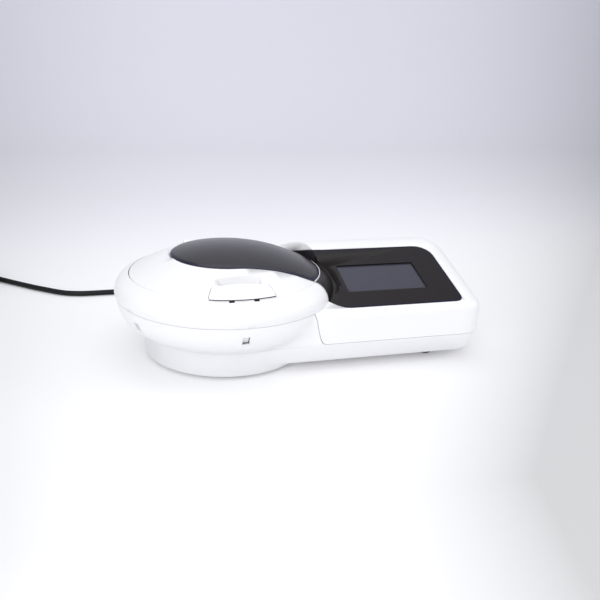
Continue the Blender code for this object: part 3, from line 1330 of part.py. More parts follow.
def build_well_tray():
    bottom = TRAY_FLOOR - TRAY_WALL
    flange_low = LEDGE_TOP + TOUCH_GAP
    flange_top = flange_low + TRAY_FLANGE_THICKNESS
    tray = turned("well_tray", [(0, bottom), (TRAY_RADIUS, bottom), (TRAY_RADIUS, flange_low),
                                (TRAY_FLANGE_RADIUS, flange_low), (TRAY_FLANGE_RADIUS, flange_top),
                                (TRAY_RADIUS - TRAY_WALL, flange_top), (TRAY_RADIUS - TRAY_WALL, TRAY_FLOOR),
                                (0, TRAY_FLOOR)])
    fence = block("fence", *fence_box(FENCE_THICKNESS + TOUCH_GAP, TRAY_FLOOR - TRAY_WALL / 2, FENCE_HEIGHT))
    cut(fence, block("fence_room", *fence_box(TOUCH_GAP, TRAY_FLOOR, OVERRUN)))
    join(tray, fence)
    cut(tray, latch_prism(TRAY_DIP_MARGIN, flange_low - TOUCH_GAP))
    for x, y in contact_places():
        cut(tray, post("contact_bore", x, y, CONTACT_BORE_RADIUS, bottom - OVERRUN / 3, TRAY_FLOOR + OVERRUN / 3))
    return dress(tray, "well_tray", "grey_plastic")


def fence_box(margin, low, height):
    """Corners of the raised border that lines up the stack on the well's floor."""
    half_width = STACK_WIDTH / 2 + margin
    half_depth = STACK_DEPTH / 2 + margin
    return ((BOWL_X - half_width, -half_depth, low), (BOWL_X + half_width, half_depth, TRAY_FLOOR + height))


def build_blotting_plate():
    half_width = STACK_WIDTH / 2
    half_depth = STACK_DEPTH / 2
    low = TRAY_FLOOR + TOUCH_GAP
    plate = prism("blotting_plate", rounded_box(BOWL_X - half_width, BOWL_X + half_width, -half_depth, half_depth,
                                                STACK_CORNER, 3), low, low + STACK_PLATE_THICKNESS)
    return dress(plate, "blotting_plate", "brushed_metal")


def build_well_contacts():
    """Studs that carry the current up through the well's floor."""
    studs = []
    for x, y in contact_places():
        seat = TRAY_FLOOR + TOUCH_GAP
        under = TRAY_FLOOR - TRAY_WALL - TOUCH_GAP
        stud = post("stud", x, y, CONTACT_RADIUS, under - 2 * CONTACT_HEAD_HEIGHT, CONTACT_TOP)
        join(stud, post("stud_collar", x, y, CONTACT_HEAD_RADIUS, seat, seat + CONTACT_HEAD_HEIGHT),
             post("stud_nut", x, y, CONTACT_HEAD_RADIUS, under - CONTACT_HEAD_HEIGHT, under, 6))
        studs.append(stud)
    dress_each(studs, "well_contact", "brass")


def plunger_cuts():
    return gather(*(post("plunger_bore", x, y, PLUNGER_RADIUS + TOUCH_GAP, LID_SKIRT_BOTTOM - OVERRUN,
                         LINER_TOP + OVERRUN) for x, y in contact_places()))


def build_lid_contacts():
    """Plungers in the lid that come down on the studs of the well."""
    plungers = []
    for x, y in contact_places():
        seat = LINER_TOP + TOUCH_GAP
        plunger = post("plunger", x, y, PLUNGER_RADIUS, CONTACT_TOP + TOUCH_GAP, seat + CONTACT_HEAD_HEIGHT)
        plungers.append(join(plunger, post("plunger_head", x, y, CONTACT_HEAD_RADIUS, seat,
                                           seat + CONTACT_HEAD_HEIGHT)))
    return dress_each(plungers, "lid_contact", "brass")


# Back wall


def build_mains_inlet():
    wall = CONSOLE_HALF_DEPTH
    half_width = INLET_WIDTH / 2
    half_height = INLET_HEIGHT / 2
    margin = INLET_FLANGE_MARGIN
    seat = wall + TOUCH_GAP
    body = block("mains_inlet", (INLET_X - half_width, wall - INLET_DEPTH, REAR_HEIGHT - half_height),
                 (INLET_X + half_width, seat + INLET_FLANGE / 2, REAR_HEIGHT + half_height))
    join(body, block("flange", (INLET_X - half_width - margin, seat, REAR_HEIGHT - half_height - margin),
                     (INLET_X + half_width + margin, seat + INLET_FLANGE, REAR_HEIGHT + half_height + margin)))
    cut(body, block("cavity", *inlet_cavity(INLET_WALL)))
    floor = wall - INLET_DEPTH + INLET_WALL
    for x, z in inlet_pin_places():
        join(body, block("inlet_pin", (x - INLET_PIN_WIDTH / 2, floor - INLET_WALL / 2, z - INLET_PIN_HEIGHT / 2),
                         (x + INLET_PIN_WIDTH / 2, floor + INLET_PIN_LENGTH, z + INLET_PIN_HEIGHT / 2)))
    dress(body, "mains_inlet", "black_plastic")


def inlet_cavity(wall):
    """Corners of the inlet's mouth, inside a wall."""
    half_width = INLET_WIDTH / 2 - wall
    half_height = INLET_HEIGHT / 2 - wall
    return ((INLET_X - half_width, CONSOLE_HALF_DEPTH - INLET_DEPTH + INLET_WALL, REAR_HEIGHT - half_height),
            (INLET_X + half_width, CONSOLE_HALF_DEPTH + OVERRUN, REAR_HEIGHT + half_height))


def inlet_pin_places():
    return [(INLET_X - INLET_PIN_SPACING, REAR_HEIGHT - INLET_PIN_RISE / 2),
            (INLET_X, REAR_HEIGHT + INLET_PIN_RISE / 2),
            (INLET_X + INLET_PIN_SPACING, REAR_HEIGHT - INLET_PIN_RISE / 2)]


def build_switch():
    wall = CONSOLE_HALF_DEPTH
    half_width = SWITCH_WIDTH / 2
    half_height = SWITCH_HEIGHT / 2
    margin = SWITCH_FLANGE_MARGIN
    seat = wall + TOUCH_GAP
    frame = block("switch_frame", (SWITCH_X - half_width, wall - SWITCH_DEPTH, REAR_HEIGHT - half_height),
                  (SWITCH_X + half_width, seat + SWITCH_FLANGE / 2, REAR_HEIGHT + half_height))
    join(frame, block("flange", (SWITCH_X - half_width - margin, seat, REAR_HEIGHT - half_height - margin),
                      (SWITCH_X + half_width + margin, seat + SWITCH_FLANGE, REAR_HEIGHT + half_height + margin)))
    cut(frame, block("switch_room", (SWITCH_X - half_width + SWITCH_WALL, wall - SWITCH_DEPTH + SWITCH_WALL,
                                     REAR_HEIGHT - half_height + SWITCH_WALL),
                     (SWITCH_X + half_width - SWITCH_WALL, wall + OVERRUN, REAR_HEIGHT + half_height - SWITCH_WALL)))
    axis_y = wall - ROCKER_AXIS_DEPTH
    bore = rod_along_x("axle_bore", axis_y, REAR_HEIGHT, ROCKER_AXLE_RADIUS + TOUCH_GAP,
                       SWITCH_X - half_width - OVERRUN, SWITCH_X + half_width + OVERRUN)
    cut(frame, bore)
    dress(frame, "switch_frame", "black_plastic")
    half_face = half_height - SWITCH_WALL - ROCKER_END_GAP
    tilt = math.radians(ROCKER_TILT)
    outline = [(-ROCKER_BACK, -ROCKER_BACK), (ROCKER_FACE, -half_face), (ROCKER_WAIST, 0),
               (ROCKER_FACE, half_face), (-ROCKER_BACK, ROCKER_BACK)]
    turned_outline = [(axis_y + y * math.cos(tilt) + z * math.sin(tilt),
                       REAR_HEIGHT - y * math.sin(tilt) + z * math.cos(tilt)) for y, z in outline]
    inner = half_width - SWITCH_WALL - ROCKER_GAP
    rocker = prism_along_x("power_rocker", turned_outline, SWITCH_X - inner, SWITCH_X + inner)
    reach = half_width - SWITCH_WALL / 4
    join(rocker, rod_along_x("rocker_axle", axis_y, REAR_HEIGHT, ROCKER_AXLE_RADIUS, SWITCH_X - reach,
                             SWITCH_X + reach))
    return dress(rocker, "power_rocker", "black_plastic")


def build_data_socket():
    wall = CONSOLE_HALF_DEPTH
    half_width = SOCKET_WIDTH / 2
    half_height = SOCKET_HEIGHT / 2
    shell = block("data_socket", (SOCKET_X - half_width, wall - SOCKET_DEPTH, REAR_HEIGHT - half_height),
                  (SOCKET_X + half_width, wall, REAR_HEIGHT + half_height))
    cut(shell, block("socket_room", (SOCKET_X - half_width + SOCKET_WALL, wall - SOCKET_DEPTH + SOCKET_WALL,
                                     REAR_HEIGHT - half_height + SOCKET_WALL),
                     (SOCKET_X + half_width - SOCKET_WALL, wall + OVERRUN, REAR_HEIGHT + half_height - SOCKET_WALL)))
    join(shell, block("tongue", (SOCKET_X - SOCKET_TONGUE_WIDTH / 2, wall - SOCKET_DEPTH + SOCKET_WALL / 2,
                                 REAR_HEIGHT), (SOCKET_X + SOCKET_TONGUE_WIDTH / 2, wall - SOCKET_TONGUE_SET,
                                                REAR_HEIGHT + SOCKET_TONGUE_HEIGHT)))
    dress(shell, "data_socket", "steel")


FAN_MIDDLE = (VENT_X, VENT_LOW - FAN_BOSS_INSET + FAN_SIZE / 2)


def build_fan():
    x, z = FAN_MIDDLE
    half = FAN_SIZE / 2
    front = FAN_BACK_Y - FAN_DEPTH
    square = rounded_box(x - half, x + half, z - half, z + half, FAN_CORNER, 2)
    frame = prism_along_y("fan_housing", square, front, FAN_BACK_Y)
    cut(frame, rod_along_y("fan_bore", x, z, FAN_BORE_RADIUS, front - OVERRUN, FAN_BACK_Y + OVERRUN, 32))
    strut_back = front + FAN_STRUT_THICKNESS
    carrier = rod_along_y("fan_carrier", x, z, FAN_HUB_RADIUS, front, strut_back)
    for index in range(3):
        angle = math.tau * index / 3 + math.pi / 2
        strut = block("fan_strut", (0, front, -FAN_STRUT_WIDTH / 2), (half - FAN_CORNER / 3, strut_back,
                                                                      FAN_STRUT_WIDTH / 2))
        strut.data.transform(Matrix.Translation((x, 0, z)) @ Matrix.Rotation(angle, 4, 'Y'))
        join(carrier, strut)
    join(frame, carrier)
    cut(frame, rod_along_y("fan_bearing", x, z, FAN_BEARING_RADIUS, front - OVERRUN, strut_back + OVERRUN))
    dress(frame, "fan_housing", "black_plastic")
    hub_front = strut_back + TOUCH_GAP
    rotor = rod_along_y("fan_rotor", x, z, FAN_HUB_RADIUS, hub_front, hub_front + FAN_HUB_DEPTH)
    join(rotor, rod_along_y("fan_shaft", x, z, FAN_SHAFT_RADIUS, front, hub_front + FAN_HUB_DEPTH / 2))
    for index in range(FAN_BLADE_COUNT):
        join(rotor, fan_blade(x, z, math.tau * index / FAN_BLADE_COUNT, hub_front))
    return dress(rotor, "fan_rotor", "black_plastic")


def fan_blade(x, z, angle, front):
    """One pitched blade, from inside the hub to its tip."""
    sweep = math.radians(FAN_BLADE_SWEEP)
    rings = []
    for reach in (FAN_HUB_RADIUS * 3 / 4, FAN_BLADE_REACH):
        ring = []
        for turn, y in ((-sweep / 2, front + FAN_HUB_DEPTH / 8), (sweep / 2, front + FAN_HUB_DEPTH * 7 / 8)):
            for thick in (-FAN_BLADE_THICKNESS / 2, FAN_BLADE_THICKNESS / 2):
                here = angle + turn + thick / reach
                ring.append((x + reach * math.cos(here), y, z + reach * math.sin(here)))
        rings.append([ring[0], ring[1], ring[3], ring[2]])
    return loft("fan_blade", rings, flat_sides=False)


# Feet, screws and boards


def foot_pad(x, y, seat):
    """One rubber foot, a little narrower at its top."""
    outline = [(0, 0), (FOOT_PAD_RADIUS - FOOT_PAD_RIM, 0), (FOOT_PAD_RADIUS, FOOT_PAD_RIM),
               (FOOT_PAD_TOP_RADIUS, seat), (0, seat)]
    return turned("foot_pad", outline, x, y, SMALL_STEPS)


def build_feet():
    feet = []
    for angle in BOWL_FOOT_ANGLES:
        turn = math.radians(angle)
        feet.append(foot_pad(BOWL_X + BOWL_FOOT_RING * math.cos(turn), BOWL_FOOT_RING * math.sin(turn),
                             FOOT_BOTTOM - TOUCH_GAP))
    for side in (-1, 1):
        feet.append(foot_pad(CONSOLE_FOOT_X, side * CONSOLE_FOOT_Y, CONSOLE_FLOOR - TOUCH_GAP))
    dress_each(feet, "rubber_foot", "foot_rubber")


def build_housing_screws():
    screws = []
    for x, y in SCREW_PLACES:
        seat = CONSOLE_FLOOR + SCREW_RECESS - TOUCH_GAP
        screws.append(join(post("housing_screw", x, y, SCREW_SHANK_RADIUS, seat - SCREW_HEAD_HEIGHT / 2,
                                seat + SCREW_LENGTH),
                           post("screw_head", x, y, SCREW_HEAD_RADIUS, seat - SCREW_HEAD_HEIGHT, seat)))
    dress_each(screws, "housing_screw", "steel")


def board_corners(low, size):
    inset = STANDOFF_INSET
    return [(x, y) for x in (low[0] + inset, low[0] + size[0] - inset)
            for y in (low[1] + inset, low[1] + size[1] - inset)]


def standoff_places():
    """Places of the posts that carry the two boards, with the floor that each stands on."""
    places = [(x, y, CONSOLE_FLOOR + WALL / 2) for x, y in board_corners(CONTROL_BOARD_LOW, CONTROL_BOARD_SIZE)]
    return places + [(x, y, FOOT_BOTTOM + WALL / 2) for x, y in board_corners(POWER_BOARD_LOW, POWER_BOARD_SIZE)]


def board(name, low, size, floor):
    bottom = floor + WALL + STANDOFF_HEIGHT + TOUCH_GAP
    plate = block(name, (low[0], low[1], bottom), (low[0] + size[0], low[1] + size[1], bottom + BOARD_THICKNESS))
    return plate, bottom + BOARD_THICKNESS


def build_control_board():
    low, size = CONTROL_BOARD_LOW, CONTROL_BOARD_SIZE
    plate, top = board("control_board", low, size, CONSOLE_FLOOR)
    for x, y, width, depth, height in CHIP_SHARES:
        corner = (low[0] + x * size[0], low[1] + y * size[1], top - BOARD_THICKNESS / 2)
        join(plate, block("chip", corner, (corner[0] + width * size[0], corner[1] + depth * size[1],
                                           top + height * CHIP_HEIGHT)))
    dress(plate, "control_board", "board_green")


def build_power_supply():
    low, size = POWER_BOARD_LOW, POWER_BOARD_SIZE
    plate, top = board("power_board", low, size, FOOT_BOTTOM)
    seat = top + TOUCH_GAP
    share_x, share_y, share_width, share_depth = TRANSFORMER_SHARES
    x = low[0] + share_x * size[0]
    y = low[1] + share_y * size[1]
    width = share_width * size[0]
    depth = share_depth * size[1]
    height = TRANSFORMER_HEIGHT
    core = block("transformer", (x, y, seat), (x + width, y + depth, seat + height))
    across, along, up = BOBBIN_SHARES
    join(core, block("bobbin", (x + width * (1 - across) / 2, y + depth * (1 - along) / 2,
                                seat + height * (1 - up) / 2),
                     (x + width * (1 + across) / 2, y + depth * (1 + along) / 2, seat + height * (1 + up) / 2)))
    dress(core, "transformer", "dark_metal")
    for share_x, share_y in CAPACITOR_SHARES:
        join(plate, post("capacitor", low[0] + share_x * size[0], low[1] + share_y * size[1], CAPACITOR_RADIUS,
                         top - BOARD_THICKNESS / 2, seat + CAPACITOR_HEIGHT))
    share_x, share_y, share_width, share_depth = HEAT_SINK_SHARES
    sink_low = (low[0] + share_x * size[0], low[1] + share_y * size[1])
    sink_width = share_width * size[0]
    sink_depth = share_depth * size[1]
    sink = block("heat_sink", (sink_low[0], sink_low[1], seat),
                 (sink_low[0] + sink_width, sink_low[1] + sink_depth, seat + HEAT_SINK_BASE))
    for index in range(HEAT_SINK_FINS):
        fin_x = sink_low[0] + (sink_width - HEAT_SINK_BASE) * index / (HEAT_SINK_FINS - 1)
        join(sink, block("fin", (fin_x, sink_low[1], seat), (fin_x + HEAT_SINK_BASE, sink_low[1] + sink_depth,
                                                             seat + HEAT_SINK_HEIGHT)))
    dress(sink, "heat_sink", "dark_metal")
    dress(plate, "power_board", "board_green")


# Mains lead


CONNECTOR_NOSE_END = CONSOLE_HALF_DEPTH + TOUCH_GAP + INLET_FLANGE + TOUCH_GAP
CONNECTOR_BODY_END = CONNECTOR_NOSE_END + CONNECTOR_BODY_LENGTH
CONNECTOR_END = CONNECTOR_BODY_END + CONNECTOR_NECK_LENGTH
RELIEF_START = CONNECTOR_END + TOUCH_GAP
RELIEF_END = RELIEF_START + RELIEF_LENGTH
COIL_LOW = COIL_LIFT + CORD_RADIUS
COIL_HEADING = (-math.sin(COIL_ENTRY), math.cos(COIL_ENTRY))    # of the lead where it meets the coil


def upright_ring(y, half_width, half_height, corner, steps=4):
    """A rounded rectangle in the inlet's line, at a distance from front to back."""
    return [(x, y, z) for x, z in rounded_box(INLET_X - half_width, INLET_X + half_width, REAR_HEIGHT - half_height,
                                              REAR_HEIGHT + half_height, corner, steps)]


def build_connector():
    """Plug-in connector whose nose sits in the inlet round its pins."""
    low, high = inlet_cavity(INLET_WALL + CONNECTOR_GAP)
    nose = block("lead_connector", (low[0], low[1] + TOUCH_GAP, low[2]),
                 (high[0], CONNECTOR_NOSE_END + CONNECTOR_BODY_LENGTH / 2, high[2]))
    half_width = CONNECTOR_BODY_WIDTH / 2
    half_height = CONNECTOR_BODY_HEIGHT / 2
    neck = CONNECTOR_NECK_WIDTH / 2
    corner = CONNECTOR_CORNER
    body = loft("connector_body", [upright_ring(CONNECTOR_NOSE_END, half_width, half_height, corner),
                                   upright_ring(CONNECTOR_BODY_END, half_width, half_height, corner),
                                   upright_ring(CONNECTOR_END, neck, neck, corner)])
    join(nose, body)
    for x, z in inlet_pin_places():
        half_pin = INLET_PIN_WIDTH / 2 + CONNECTOR_GAP
        rise = INLET_PIN_HEIGHT / 2 + CONNECTOR_GAP
        cut(nose, block("pin_room", (x - half_pin, low[1] - OVERRUN, z - rise),
                        (x + half_pin, low[1] + INLET_PIN_LENGTH + CONNECTOR_GAP, z + rise)))
    dress(nose, "lead_connector", "cord_rubber")


def build_relief():
    """Tapered sleeve where the cord leaves its connector."""
    relief = loft("lead_relief", [[(x, y, z) for x, z in circle(INLET_X, REAR_HEIGHT, radius)]
                                  for y, radius in ((RELIEF_START, RELIEF_START_RADIUS),
                                                    (RELIEF_END, RELIEF_END_RADIUS))])
    dress(relief, "lead_relief", "cord_rubber")


def smooth_route(places, spacing):
    """Evenly spaced points on a smooth curve through a route's own points."""
    places = [Vector(place) for place in places]
    marks = [0]
    for before, after in zip(places, places[1:]):
        marks.append(marks[-1] + (after - before).length)
    slopes = []
    for index in range(len(places)):
        low = max(index - 1, 0)
        high = min(index + 1, len(places) - 1)
        slopes.append((places[high] - places[low]) / (marks[high] - marks[low]))
    count = round(marks[-1] / spacing)
    points = []
    span = 0
    for step in range(count + 1):
        here = marks[-1] * step / count
        while span < len(places) - 2 and here > marks[span + 1]:
            span += 1
        run = marks[span + 1] - marks[span]
        t = (here - marks[span]) / run
        point = (places[span] * (2 * t ** 3 - 3 * t ** 2 + 1) + slopes[span] * run * (t ** 3 - 2 * t ** 2 + t)
                 + places[span + 1] * (3 * t ** 2 - 2 * t ** 3) + slopes[span + 1] * run * (t ** 3 - t ** 2))
        point.z = max(point.z, CORD_RADIUS + CORD_LIFT)
        points.append(tuple(point))
    return points


def coil_place(turn):
    """Point of the coil after a number of turns: in, up in half a turn, and out again on top."""
    inner = COIL_RADIUS - COIL_PITCH * COIL_LAYER_TURNS
    climb = min(max((turn - COIL_LAYER_TURNS) / COIL_CLIMB_TURNS, 0), 1)
    if turn < COIL_LAYER_TURNS:
        radius = COIL_RADIUS - COIL_PITCH * turn
    elif climb < 1:
        radius = inner - COIL_PITCH * COIL_CLIMB_TURNS * climb * (1 - climb)
    else:
        radius = inner + COIL_PITCH * (turn - COIL_LAYER_TURNS - COIL_CLIMB_TURNS)
    height = COIL_LOW + COIL_PITCH * climb ** 2 * (3 - 2 * climb)
    angle = COIL_ENTRY + math.tau * turn
    return (COIL_CENTRE[0] + radius * math.cos(angle), COIL_CENTRE[1] + radius * math.sin(angle), height)


def beside_coil(place, along, height):
    """A point past an end of the coil, in line with it."""
    return (place[0] + COIL_HEADING[0] * along, place[1] + COIL_HEADING[1] * along, height)


def coil_route():
    """Centre line of the whole coil, with a straight diameter at either end."""
    turns = 2 * COIL_LAYER_TURNS + COIL_CLIMB_TURNS
    count = round(turns * COIL_LOOP_POINTS)
    loops = [coil_place(turns * step / count) for step in range(count + 1)]
    bend = beside_coil(loops[-1], COIL_TAIL - 4 * CORD_RADIUS, PLUG_AXIS_HEIGHT)
    tail = beside_coil(loops[-1], COIL_TAIL, PLUG_AXIS_HEIGHT)
    return [beside_coil(loops[0], -2 * CORD_RADIUS, COIL_LOW)] + loops + [bend, tail]


def least_gap(route, diameter, apart):
    """Least distance between the surfaces of stretches of a tube that lie some points apart."""
    places = [Vector(place) for place in route]
    least = math.inf
    for index, place in enumerate(places):
        for low in range(index + apart, len(places) - 1):
            start, end = places[low], places[low + 1]
            share = min(max((place - start).dot(end - start) / (end - start).length_squared, 0), 1)
            least = min(least, (place - start.lerp(end, share)).length)
    return least - diameter


def route_length(route):
    return sum((Vector(after) - Vector(before)).length for before, after in zip(route, route[1:]))


def build_lead():
    """The cord from its relief to the plug: a free stretch, then the tied coil."""
    coil = coil_route()
    start = (INLET_X, RELIEF_END + TOUCH_GAP, REAR_HEIGHT)
    end = beside_coil(coil[0], -TOUCH_GAP, COIL_LOW)
    first = (start[0], start[1] + 2 * CORD_RADIUS, start[2])
    last = beside_coil(end, -2 * CORD_RADIUS, COIL_LOW)
    free = [start, *smooth_route([first, *CORD_ROUTE, last], CORD_POINT_SPACING), end]
    dress(wire("mains_lead", free, CORD_RADIUS, 2), "mains_lead", "cord_rubber")
    dress(wire("mains_lead_coil", coil, CORD_RADIUS, 1), "mains_lead_coil", "cord_rubber")
    gap = least_gap(coil, 2 * CORD_RADIUS, COIL_LOOP_POINTS // 2)
    print(f"mains lead {route_length(free) + route_length(coil):.3f} m, least gap in its coil {gap * 1000:.2f} mm")


def build_lead_tie():
    """Flat strap round the coil's turns, on the side away from its ends."""
    inner = COIL_RADIUS - COIL_PITCH * COIL_LAYER_TURNS + COIL_PITCH / 4 - CORD_RADIUS
    outer = COIL_RADIUS - COIL_PITCH / 2 + CORD_RADIUS
    top = COIL_LOW + COIL_PITCH + CORD_RADIUS
    sections = []
    for margin, bottom in ((TIE_GAP + TIE_THICKNESS, CORD_LIFT), (TIE_GAP, CORD_LIFT + TIE_THICKNESS)):
        sections.append(rounded_box(inner - margin, outer + margin, bottom, top + margin, TIE_CORNER))
    half = TIE_WIDTH / 2
    tie = cut(prism_along_y("lead_tie", sections[0], -half, half),
              prism_along_y("tie_room", sections[1], -half - OVERRUN, half + OVERRUN))
    turn = Matrix.Rotation(COIL_ENTRY + math.pi, 4, 'Z')
    tie.data.transform(Matrix.Translation((COIL_CENTRE[0], COIL_CENTRE[1], 0)) @ turn)
    dress(tie, "lead_tie", "cord_rubber")


def place_plug(thing):
    """Move a piece made along X, with its relief's end at the origin, to the end of the coil's tail."""
    end = beside_coil(coil_place(2 * COIL_LAYER_TURNS + COIL_CLIMB_TURNS), COIL_TAIL + TOUCH_GAP, PLUG_AXIS_HEIGHT)
    thing.data.transform(Matrix.Translation(end) @ Matrix.Rotation(COIL_ENTRY + math.pi / 2, 4, 'Z'))
    return thing


def build_plug():
    """Three-pin plug lying on the bench behind the coil."""
    half_width = PLUG_BODY_WIDTH / 2
    half_height = PLUG_BODY_HEIGHT / 2
    face = PLUG_RELIEF_LENGTH + PLUG_BODY_LENGTH
    grip = PLUG_RELIEF_LENGTH + PLUG_SHOULDER
    rings = []
    for along, wide, high, corner in ((0, RELIEF_END_RADIUS, RELIEF_END_RADIUS, RELIEF_END_RADIUS),
                                      (PLUG_RELIEF_LENGTH, RELIEF_START_RADIUS, RELIEF_START_RADIUS,
                                       RELIEF_START_RADIUS),
                                      (grip, half_width * 3 / 4, half_height * 3 / 4, PLUG_CORNER),
                                      (face - PLUG_SHOULDER, half_width, half_height, PLUG_CORNER),
                                      (face, half_width, half_height, PLUG_CORNER)):
        rings.append([(along, y, z) for y, z in rounded_box(-wide, wide, -high, high, corner)])
    plug = loft("mains_plug", rings, flat_sides=False)
    ground_height = BLADE_RISE - GROUND_PIN_DROP
    pins = []
    for side in (-1, 1):
        y = side * BLADE_SPACING / 2
        for margin in (TOUCH_GAP, 0):
            half = BLADE_WIDTH / 2 + margin
            rise = BLADE_HEIGHT / 2 + margin
            blade = block("blade", (face - BLADE_SEAT - margin, y - half, BLADE_RISE - rise),
                          (face + BLADE_LENGTH, y + half, BLADE_RISE + rise))
            if margin:
                cut(plug, blade)
            else:
                pins.append(blade)
    cut(plug, prism_along_x("ground_room", circle(0, ground_height, GROUND_PIN_RADIUS + TOUCH_GAP),
                            face - BLADE_SEAT - TOUCH_GAP, face + GROUND_PIN_LENGTH))
    pins.append(prism_along_x("ground", circle(0, ground_height, GROUND_PIN_RADIUS),
                              face - BLADE_SEAT, face + GROUND_PIN_LENGTH))
    dress(place_plug(plug), "mains_plug", "cord_rubber")
    dress_each([place_plug(pin) for pin in pins], "plug_pin", "steel")


# Assembly


def carry(name, place, pieces, parent=None):
    """An empty on a joint's axis that carries the pieces of one moving body."""
    empty = bpy.data.objects.new(name, None)
    bpy.context.scene.collection.objects.link(empty)
    base = Vector(place)
    empty.location = base
    if parent is not None:
        empty.parent = parent
        empty.location = base - parent.matrix_world.translation
    for piece in pieces:
        piece.parent = empty
        piece.location = -base
    bpy.context.view_layer.update()
    return empty


clear_scene()
finish("white_casing", (0.86, 0.86, 0.87), 0.32)
finish("black_panel", (0.035, 0.033, 0.034), 0.28)
finish("dark_gloss", (0.10, 0.10, 0.11), 0.18)
finish("screen_glass", (0.07, 0.075, 0.09), 0.08)
finish("dark_plastic", (0.05, 0.05, 0.055), 0.45)
finish("black_plastic", (0.02, 0.02, 0.022), 0.4)
finish("grey_plastic", (0.42, 0.43, 0.45), 0.45)
finish("pad_foam", (0.22, 0.23, 0.25), 0.9)
finish("foot_rubber", (0.03, 0.03, 0.03), 0.8)
finish("cord_rubber", (0.015, 0.015, 0.016), 0.55)
finish("board_green", (0.02, 0.16, 0.07), 0.4)
finish("steel", (0.62, 0.62, 0.63), 0.3, 1.0)
finish("brushed_metal", (0.70, 0.70, 0.71), 0.35, 1.0)
finish("dark_metal", (0.20, 0.20, 0.21), 0.5, 1.0)
finish("brass", (0.72, 0.56, 0.28), 0.3, 1.0)

build_lower_housing()
build_upper_housing()
build_console_panel()
build_screen()
build_hinge()
build_latch_catches()
build_well_tray()
build_blotting_plate()
build_well_contacts()
build_mains_inlet()
build_data_socket()
build_feet()
build_housing_screws()
build_control_board()
build_power_supply()
build_connector()
build_relief()
build_lead()
build_lead_tie()
build_plug()
lid_pieces = [build_lid_shell(), build_lid_inlay(), build_liner(), build_latch_pin(), build_latch_spring()]
lid_pieces += build_liner_screws() + build_pressure_springs() + build_lid_contacts()
lid = carry("lid_hinge_axis", (BOWL_X, HINGE_Y, HINGE_HEIGHT), lid_pieces)
carry("latch_axis", (BOWL_X, LATCH_AXIS_Y, LATCH_AXIS_HEIGHT), [build_latch()], lid)
carry("pressure_axis", (BOWL_X, 0, PLATE_TOP), [build_pressure_plate(), build_pressure_pad()], lid)
carry("rocker_axis", (SWITCH_X, CONSOLE_HALF_DEPTH - ROCKER_AXIS_DEPTH, REAR_HEIGHT), [build_switch()])
carry("fan_axis", (FAN_MIDDLE[0], FAN_BACK_Y, FAN_MIDDLE[1]), [build_fan()])
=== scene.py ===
# %% [markdown]
# # Dressing a western blotting system
# The object is a bench unit with a round bowl, a hinged pressure lid over it, and a wedge-shaped
# console with a screen. Its construction is already there as a fixed frame of solids in metres.
# This script gives each of them its finish, and models again what shows from close by.

import json
import math

import bmesh
import bpy
from mathutils import Matrix, Vector


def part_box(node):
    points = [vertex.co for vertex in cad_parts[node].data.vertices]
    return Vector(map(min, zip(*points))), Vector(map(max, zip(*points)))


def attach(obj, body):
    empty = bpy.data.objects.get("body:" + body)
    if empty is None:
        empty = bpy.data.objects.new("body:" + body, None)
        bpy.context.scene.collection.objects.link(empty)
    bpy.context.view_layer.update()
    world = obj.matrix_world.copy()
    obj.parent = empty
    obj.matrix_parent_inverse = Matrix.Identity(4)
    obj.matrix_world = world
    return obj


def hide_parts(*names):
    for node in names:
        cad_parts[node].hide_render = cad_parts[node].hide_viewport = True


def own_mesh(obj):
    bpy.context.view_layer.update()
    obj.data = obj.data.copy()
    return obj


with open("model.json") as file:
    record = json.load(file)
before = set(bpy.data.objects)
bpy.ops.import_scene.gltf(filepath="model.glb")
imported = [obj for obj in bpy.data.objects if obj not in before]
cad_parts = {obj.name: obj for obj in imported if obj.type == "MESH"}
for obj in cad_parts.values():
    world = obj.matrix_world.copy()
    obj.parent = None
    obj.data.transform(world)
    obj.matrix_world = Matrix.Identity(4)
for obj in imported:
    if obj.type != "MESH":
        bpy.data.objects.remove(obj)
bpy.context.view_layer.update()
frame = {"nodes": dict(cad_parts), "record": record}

# %% [markdown]
# ## Camera
# A photograph fixes a camera by where it stands, how it is turned and how long its lens is.
# The three turns are kept apart, because each reads as something one would do at the tripod:
# swing it round to the right, tip it down, and let it lean a little to one side.

# %% Camera
CAMERA_PLACE = Vector((-0.1828, -0.6490, 0.2838))
CAMERA_SWING = math.radians(-16.315)
CAMERA_TIP = math.radians(70.573)
CAMERA_LEAN = math.radians(2.082)
CAMERA_LENS = 41.62

camera = bpy.data.objects.new("camera", bpy.data.cameras.new("camera"))
bpy.context.scene.collection.objects.link(camera)
camera.data.lens = CAMERA_LENS
camera.matrix_world = (Matrix.Translation(CAMERA_PLACE) @ Matrix.Rotation(CAMERA_SWING, 4, 'Z')
                       @ Matrix.Rotation(CAMERA_TIP, 4, 'X') @ Matrix.Rotation(CAMERA_LEAN, 4, 'Z'))
bpy.context.scene.camera = camera
print("camera", round(CAMERA_PLACE.length, 3), "m from the middle of the base")

# %% [markdown]
# ## Sizes that the dressing shares with the frame
# New pieces have to fit the solids, so both need some sizes in common. What the frame's boxes tell
# is read from them, because a number that is typed twice can drift apart. The rest are the
# moulding's own sizes, in metres: where the ring round the lid ends, how wide it opens, and the gap
# between it and the lid.

# %% Sizes of the bowl and the ring
tray_low, tray_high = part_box("well_tray")
BOWL_X = (tray_low.x + tray_high.x) / 2
RING_TOP = 0.0824
LID_OPENING_RADIUS = 0.0939
LID_GAP = 0.0008
LID_RADIUS = LID_OPENING_RADIUS - LID_GAP
print("bowl axis at x", round(BOWL_X, 4), "lid radius", round(LID_RADIUS, 4))

